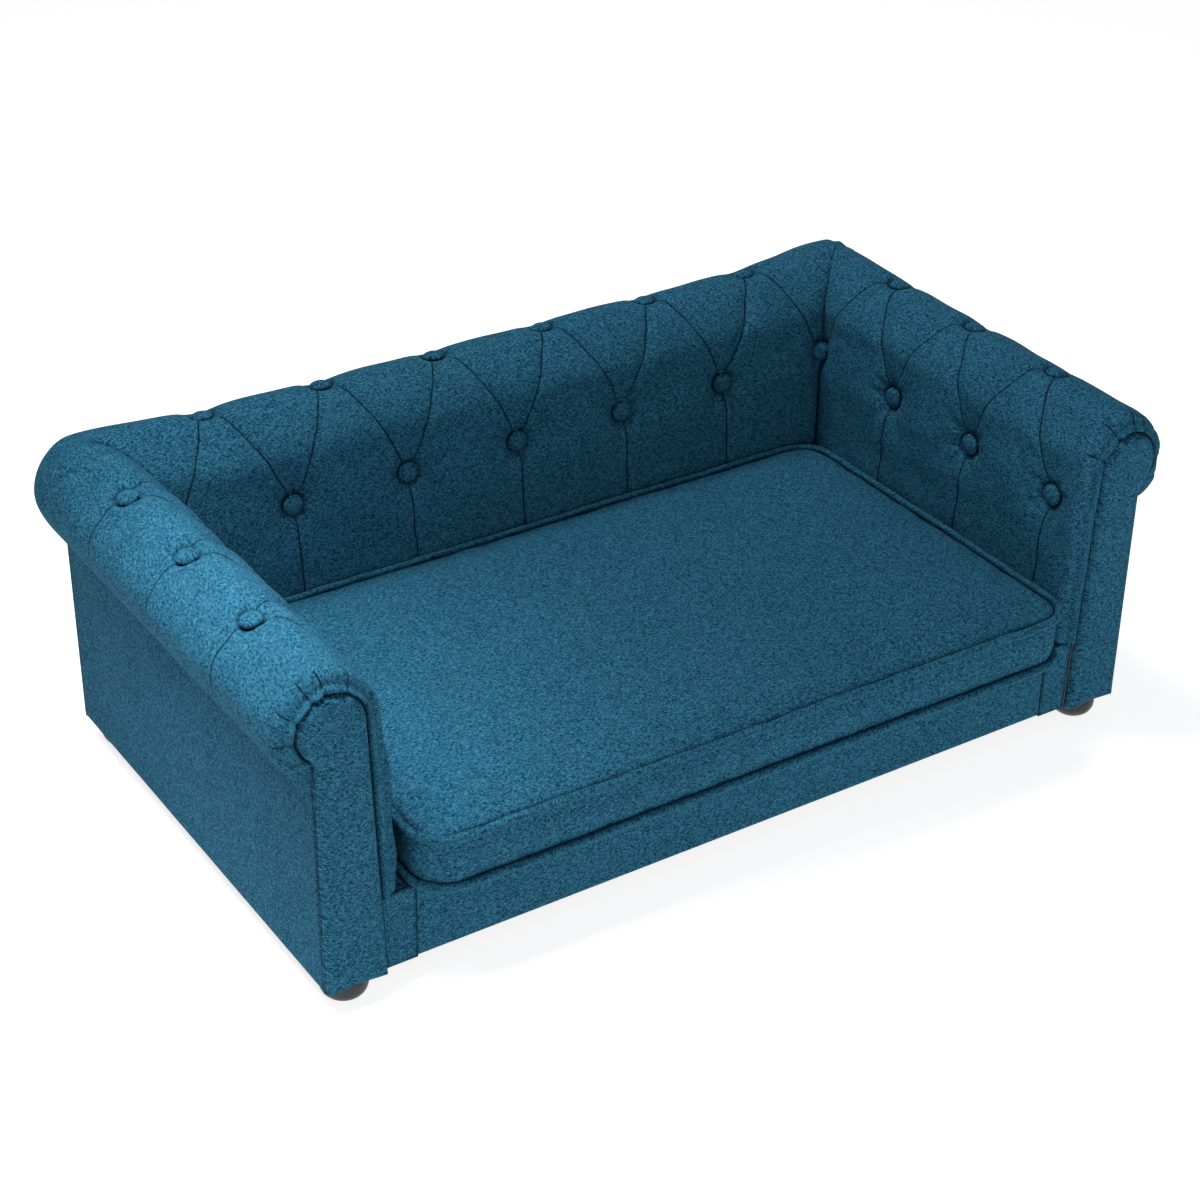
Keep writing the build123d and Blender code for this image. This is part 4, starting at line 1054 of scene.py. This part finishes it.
# Linings: black spun-bonded cloth, pressed in a small diamond pattern, over the deck and stapled under the
# base. The base lining is the CAD sheet, drawn in a little so that its edge hides behind the covers.
spunbond, tree, shader, place = new_finish("spun_bonded_lining", 0.9)
fibres = add_node(tree, "TexNoise", {"Vector": place, "Scale": 1800.0, "Detail": 3.0})
pressed = add_node(tree, "TexVoronoi", {"Vector": place, "Scale": 420.0, "Randomness": 0.0})
tone = add_math(tree, "MULTIPLY", fibres, spread_over(tree, pressed, 0.1, 0.35, 0.55, 1.0))
colour_by(tree, shader, tone, (0.008, 0.008, 0.010, 1), (0.055, 0.055, 0.060, 1))
add_bump(tree, shader, tone, 0.0003)
deck_front_y, deck_rear_y, lining_thickness = -0.15065, 0.1590, 0.0006
corners = level(-deck_half, deck_half, deck_front_y, deck_rear_y, deck_z)
sheet = cover_slab(corners, (0, 0, 1), lining_thickness, 81, swell=0.0, spacing=0.02, rounding=0.0005)
deck = join_patches("deck_lining", sheet, spunbond)
dress(deck, "lining", "sofa", "deck_cover")
lining_low, lining_high = (-0.3945, -0.2092, 0), (0.3945, 0.2330, 1)
dust_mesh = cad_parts["dust_cover"].data.copy()
shell = bmesh.new()
shell.from_mesh(dust_mesh)
bmesh.ops.remove_doubles(shell, verts=shell.verts, dist=1e-5)
shell.to_mesh(dust_mesh)
shell.free()
shape = np.empty(len(dust_mesh.vertices) * 3)
dust_mesh.vertices.foreach_get("co", shape)
shape = shape.reshape(-1, 3).clip(lining_low, lining_high)
dust_mesh.vertices.foreach_set("co", shape.ravel())
dust_mesh.update()
dust_mesh.materials.clear()
dust_mesh.materials.append(spunbond)
dust = bpy.data.objects.new("base_lining", dust_mesh)
bpy.context.scene.collection.objects.link(dust)
dress(dust, "lining", "sofa", "dust_cover")

# Seat cushion: foam in a fibre wrap inside a linen cover of two panels and a boxing strip, with a covered
# cord sewn into both seams. The stuffed form swells until its seams hold it, and lies flat on the deck.
cushion_half, cushion_front, cushion_rear = 0.324, -0.24375, 0.14125
cushion_mid_y, cushion_half_y = (cushion_front + cushion_rear) / 2, (cushion_rear - cushion_front) / 2
cushion_corner = 0.036
cushion_spacing = 0.0062
panel_inset = 0.0072
low_seam, high_seam = 0.09405, 0.13905
low_wander, high_wander = 0.0003, 0.0007
crown, belly, boxing_swell = 0.0068, 0.0036, 0.0030
seat_rest = 0.0903
zip_half, zip_wall_y = 0.262, 0.13715
pucker_depth, top_unevenness = 0.00045, 0.0005
cover_thickness, foam_inside_cover = 0.0012, 0.0016
cloth_frames = 20
furthest_move = 0.0055
cord_radius = 0.00375
cord_unevenness, cord_sway = 0.03, 0.0004
bias_slant = 0.707


def seam_wave(share, seed):
    """How a sewn seam wanders by its share of the way round: a sum of whole waves with seeded phases."""
    rng = np.random.default_rng(seed)
    total = 0
    for count in (5, 9, 14, 23, 37, 52):
        total = total + np.sin(2 * math.pi * count * share + rng.uniform(0, 6.28)) * rng.uniform(0.5, 1.0)
    return total / 3


def cushion_grid(inset, spacing):
    """Flat grid over the cushion's rounded outline. Straight rows and columns; in each corner a square of the
    grid bends into a quarter disc, x by the root of one less half the square of y, and the same for y."""
    half_x, half_y, corner = cushion_half - inset, cushion_half_y - inset, cushion_corner - inset

    def steps(half):
        edge = np.linspace(0, corner, round(corner / spacing) + 1)
        middle = np.linspace(-half + corner, half - corner, round(2 * (half - corner) / spacing) + 1)
        return np.concatenate([-half + edge[:-1], middle, half - edge[::-1][1:]])

    x, y = np.meshgrid(steps(half_x), steps(half_y))
    p, q = (part_of(np.abs(way) - half + corner, corner) for way, half in ((x, half_x), (y, half_y)))
    bent_x = np.sign(x) * (half_x - corner + corner * p * np.sqrt(1 - q**2 / 2))
    bent_y = np.sign(y) * (half_y - corner + corner * q * np.sqrt(1 - p**2 / 2))
    return np.where(q * p > 0, bent_x, x), np.where(q * p > 0, bent_y, y)


def rim(grid):
    """The grid's border as one closed line."""
    return np.concatenate([grid[0], grid[1:, -1], grid[-1, -2::-1], grid[-2::-1, 0]])


def stuff(grids, pins):
    """Swells the closed cover by a cloth simulation with air pressure and no gravity. The seams are held, and
    each point's move is eased to furthest_move * tanh(move / furthest_move)."""
    shapes = [grid.shape[:2] for grid in grids]
    points = np.concatenate([grid.reshape(-1, 3) for grid in grids])
    steps = np.round(points / 2e-5).astype(np.int64)
    _, first, index = np.unique(steps, axis=0, return_index=True, return_inverse=True)
    index = index.ravel()
    starts = np.cumsum([0, *(rows * columns for rows, columns in shapes)])
    quads = []
    for start, (rows, columns) in zip(starts, shapes):
        spot = index[start:start + rows * columns].reshape(rows, columns)
        corners = [spot[:-1, :-1], spot[1:, :-1], spot[1:, 1:], spot[:-1, 1:]]
        quads.append(np.stack(corners, axis=-1).reshape(-1, 4))
    mesh = bpy.data.meshes.new("stuffing")
    mesh.from_pydata(points[first].tolist(), [], np.concatenate(quads).tolist())
    shell = bmesh.new()
    shell.from_mesh(mesh)
    bmesh.ops.recalc_face_normals(shell, faces=shell.faces)
    shell.to_mesh(mesh)
    shell.free()
    dummy = bpy.data.objects.new("stuffing", mesh)
    bpy.context.scene.collection.objects.link(dummy)
    held = dummy.vertex_groups.new(name="seams")
    held.add(np.unique(index[pins]).tolist(), 1.0, "REPLACE")
    cloth = dummy.modifiers.new("stuffing", "CLOTH")
    cloth.settings.quality = 5
    cloth.settings.mass = 0.25
    cloth.settings.tension_stiffness = 18
    cloth.settings.compression_stiffness = 12
    cloth.settings.shear_stiffness = 6
    cloth.settings.bending_stiffness = 0.8
    cloth.settings.vertex_group_mass = "seams"
    cloth.settings.use_pressure = True
    cloth.settings.uniform_pressure_force = 2.6
    cloth.settings.shrink_min = -0.008
    cloth.settings.effector_weights.gravity = 0
    cloth.collision_settings.use_collision = False
    cloth.collision_settings.use_self_collision = False
    cloth.point_cache.frame_start, cloth.point_cache.frame_end = 1, cloth_frames
    for number in range(1, cloth_frames + 1):
        bpy.context.scene.frame_set(number)
    settled = dummy.evaluated_get(bpy.context.evaluated_depsgraph_get()).to_mesh()
    found = np.empty(len(settled.vertices) * 3)
    settled.vertices.foreach_get("co", found)
    found = found.reshape(-1, 3)[index]
    bpy.context.scene.frame_set(1)
    bpy.data.objects.remove(dummy)
    move = found - points
    length = np.linalg.norm(move, axis=1, keepdims=True)
    eased = furthest_move * np.tanh(length / furthest_move) / np.maximum(length, 1e-9)
    moved = points + move * np.where(length > 0, eased, 0)
    parts = np.split(moved, starts[1:-1])
    return [part.reshape(*shape, 3) for part, shape in zip(parts, shapes)]


flat_x, flat_y = cushion_grid(panel_inset, cushion_spacing)
rim_x, rim_y = rim(flat_x), rim(flat_y)
rim_index = rim(np.arange(flat_x.size).reshape(flat_x.shape))
rim_length = np.concatenate([[0], np.cumsum(np.hypot(np.diff(rim_x), np.diff(rim_y)))])
rim_share = rim_length / rim_length[-1]
high_edge = high_seam + high_wander * seam_wave(rim_share, 91)
low_edge = low_seam + low_wander * seam_wave(rim_share, 92)
half_x, half_y = np.abs(flat_x).max(), np.abs(flat_y).max()
full_x = np.clip(1 - np.abs(flat_x / half_x) ** 7, 0, 1) ** 0.5
full_y = np.clip(1 - np.abs(flat_y / half_y) ** 5, 0, 1) ** 0.5
fullness = full_x * full_y
flat_y_there = flat_y + cushion_mid_y
top_grid = np.stack([flat_x, flat_y_there, high_seam + crown * fullness], axis=-1)
low_grid = np.stack([flat_x, flat_y_there, low_seam - belly * np.minimum(1, fullness * 3)], axis=-1)
top_grid.reshape(-1, 3)[rim_index, 2] = high_edge
low_grid.reshape(-1, 3)[rim_index, 2] = low_edge
normal = np.stack([np.gradient(rim_y), -np.gradient(rim_x)], axis=-1)
normal /= np.linalg.norm(normal, axis=-1, keepdims=True)
normal[0] = normal[-1] = (normal[0] + normal[-1]) / np.linalg.norm(normal[0] + normal[-1])
levels = np.linspace(0, 1, 9)[:, None]
push = boxing_swell * np.sin(math.pi * levels) ** 0.6
box_x, box_y = rim_x + push * normal[:, 0], rim_y + cushion_mid_y + push * normal[:, 1]
box_grid = np.stack([box_x, box_y, low_edge + levels * (high_edge - low_edge)], axis=-1)
box_grid[:, -1] = box_grid[:, 0]

top_count, box_count, around = flat_x.size, box_x.size, np.arange(box_x.shape[1])
pins = np.concatenate([rim_index, top_count + around, top_count + box_count - 1 - around])
top_grid, box_grid, low_grid = stuff([top_grid, box_grid, low_grid], pins)
low_grid[..., 2] = np.maximum(low_grid[..., 2], seat_rest + 0.0001)
at_zip = (np.abs(box_grid[..., 0]) < zip_half) & (box_grid[..., 1] > 0.12)
box_grid[..., 1] = np.where(at_zip, np.minimum(box_grid[..., 1], zip_wall_y), box_grid[..., 1])
edge_gap = np.minimum(half_x - np.abs(flat_x), half_y - np.abs(flat_y))
near_seam = np.exp(-edge_gap / 0.012) * part_of(edge_gap, 0.004)
pucker = pucker_depth * soft_noise(top_grid[..., :2], 95, 0.022) * near_seam
uneven = top_unevenness * soft_noise(top_grid[..., :2], 96, 0.11) * part_of(edge_gap, 0.03)
top_grid[..., 2] += pucker + uneven
# Painted shade: the panels and the boxing darken toward their corded seams.
panel_seam_shade = 0.9 * bell(edge_gap, 0.0035)
box_length = np.broadcast_to(rim_length, box_grid.shape[:2])
boxing_seam_shade = 0.9 * bell(np.minimum(levels, 1 - levels), 0.06) + 0 * box_length
box_weave = np.stack([box_length, box_grid[..., 2]], axis=-1)
cushion_parts = (
    ("cushion_top_linen", "cushion_top_panel", top_grid, top_grid[..., :2] + (0, 0.4), panel_seam_shade),
    ("cushion_boxing_linen", "cushion_boxing", box_grid, box_weave, boxing_seam_shade),
    ("cushion_bottom_linen", "cushion_bottom_panel", low_grid, low_grid[..., :2], panel_seam_shade),
)
fibre, tree, shader, place = new_finish("fibre_wrap", 0.95)
tufts = add_node(tree, "TexNoise", {"Vector": place, "Scale": 260.0, "Detail": 6.0, "Roughness": 0.8})
colour_by(tree, shader, tufts, (0.70, 0.70, 0.67, 1), (0.93, 0.93, 0.92, 1))
add_bump(tree, shader, tufts, 0.0012)
insert = join_patches("cushion_foam", [(grid, weave, 0.0) for _, _, grid, weave, _ in cushion_parts], fibre)
for name, node, grid, weave, painted_shade in cushion_parts:
    sheet = join_patches(name, [(grid, weave, painted_shade)], teal_linen, outward=False)
    middle = sheet.data.polygons[len(sheet.data.polygons) // 2]
    outside = Vector(middle.center) - Vector((0, cushion_mid_y, (low_seam + high_seam) / 2))
    if middle.normal.dot(outside) < 0:
        sheet.data.flip_normals()
    wall = sheet.modifiers.new("cloth", "SOLIDIFY")
    wall.thickness = cover_thickness
    wall.offset = -1
    smooth = sheet.modifiers.new("smooth", "SUBSURF")
    smooth.levels = smooth.render_levels = 1
    dress(sheet, "linen", "cushion", node)
normals = np.empty(len(insert.data.vertices) * 3)
insert.data.vertices.foreach_get("normal", normals)
shape = np.empty_like(normals)
insert.data.vertices.foreach_get("co", shape)
shape = shape - foam_inside_cover * normals
insert.data.vertices.foreach_set("co", shape)
insert.data.update()
dress(insert, "fibre_fill", "cushion", "cushion_insert")


def rounded_outline(count):
    """Points and headings at even steps round the cord's line, a rectangle with quarter turns, the steps as
    shares, and the line's length."""
    half = np.array([cushion_half - cord_radius, cushion_half_y - cord_radius])
    corner = cushion_corner - cord_radius
    quarter = math.pi / 2 * corner
    sides = 2 * (half - corner)
    total = 2 * sides.sum() + 4 * quarter
    share = np.linspace(0, 1, count + 1)
    share[-1] = 0
    start = share * total
    path, ahead = np.zeros((count + 1, 2)), np.zeros((count + 1, 2))
    passed = 0.0
    centres = np.array([(1, -1), (1, 1), (-1, 1), (-1, -1)]) * (half - corner)
    for number in range(4):
        heading = number * math.pi / 2
        along = np.array([math.cos(heading), math.sin(heading)])
        side_length = sides[number % 2]
        begin = centres[number - 1] + np.array([along[1], -along[0]]) * corner
        on_side = ((start >= passed) & (start < passed + side_length))[:, None]
        path = np.where(on_side, begin + along * (start - passed)[:, None], path)
        ahead = np.where(on_side, along, ahead)
        passed += side_length
        on_turn = ((start >= passed) & (start < passed + quarter))[:, None]
        turn = heading - math.pi / 2 + (start - passed) / corner
        spoke = np.stack([np.cos(turn), np.sin(turn)], axis=-1)
        path = np.where(on_turn, centres[number] + corner * spoke, path)
        ahead = np.where(on_turn, np.stack([-spoke[:, 1], spoke[:, 0]], axis=-1), ahead)
        passed += quarter
    return path, ahead, share, total


def piping(seam, seed, wave, count=640):
    """A covered cord carried round the cushion's rounded outline: a circle round the seam line, which wanders
    a little up and down and in and out. Its inner side, where it meets the cover, is darkened by painted
    shade."""
    path, ahead, share, total = rounded_outline(count)
    around = np.linspace(0, 2 * math.pi, 21)
    around[-1] = 0
    radius = cord_radius * (1 + cord_unevenness * seam_wave((share * 3) % 1, seed + 1))[:, None]
    sway = cord_sway * seam_wave(share, seed)[:, None] + radius * np.cos(around)
    level_z = seam + wave * seam_wave(share, seed - 10)[:, None]
    x, y = path[:, :1] + ahead[:, 1:] * sway, path[:, 1:] - ahead[:, :1] * sway + cushion_mid_y
    points = np.stack([x, y, level_z + radius * np.sin(around)], axis=-1)
    steps = np.linspace(0, total, count + 1)[:, None]
    slanted, crossed = steps + around * cord_radius, steps - around * cord_radius
    weave = bias_slant * np.stack([slanted, crossed], axis=-1)
    # Painted shade on the cord's inner side.
    return [(points, weave, 0.95 * bell(np.abs(around - math.pi), 0.75) + 0 * x)]


for name, seam, seed, wave in (("top", high_seam, 101, high_wander), ("bottom", low_seam, 102, low_wander)):
    cord = join_patches(name + "_seam_cord", piping(seam, seed, wave), teal_linen)
    dress(cord, "linen", "cushion", name + "_piping")

# Zip: a nylon coil on woven tape across the rear of the boxing, and a painted slider. Both keep their CAD
# form; the coil's teeth are in the finish.
nylon, tree, shader, place = new_finish("zip_nylon", 0.5)
teeth = add_node(tree, "TexWave", {"Vector": place, "Scale": 190.0}, bands_direction="X")
colour_by(tree, shader, teeth, (0.006, 0.030, 0.042, 1), (0.030, 0.110, 0.145, 1))
add_bump(tree, shader, teeth, 0.0006)
finish_nodes(nylon, "cushion_zip")
paint, tree, shader, place = new_finish("painted_zinc", 0.35)
wear = add_node(tree, "TexNoise", {"Vector": place, "Scale": 500.0, "Detail": 4.0})
colour_by(tree, shader, wear, (0.010, 0.045, 0.060, 1), (0.030, 0.100, 0.130, 1))
shader.inputs["Coat Weight"].default_value = 0.3
add_bump(tree, shader, wear, 0.00006)
finish_nodes(paint, "zip_slider")
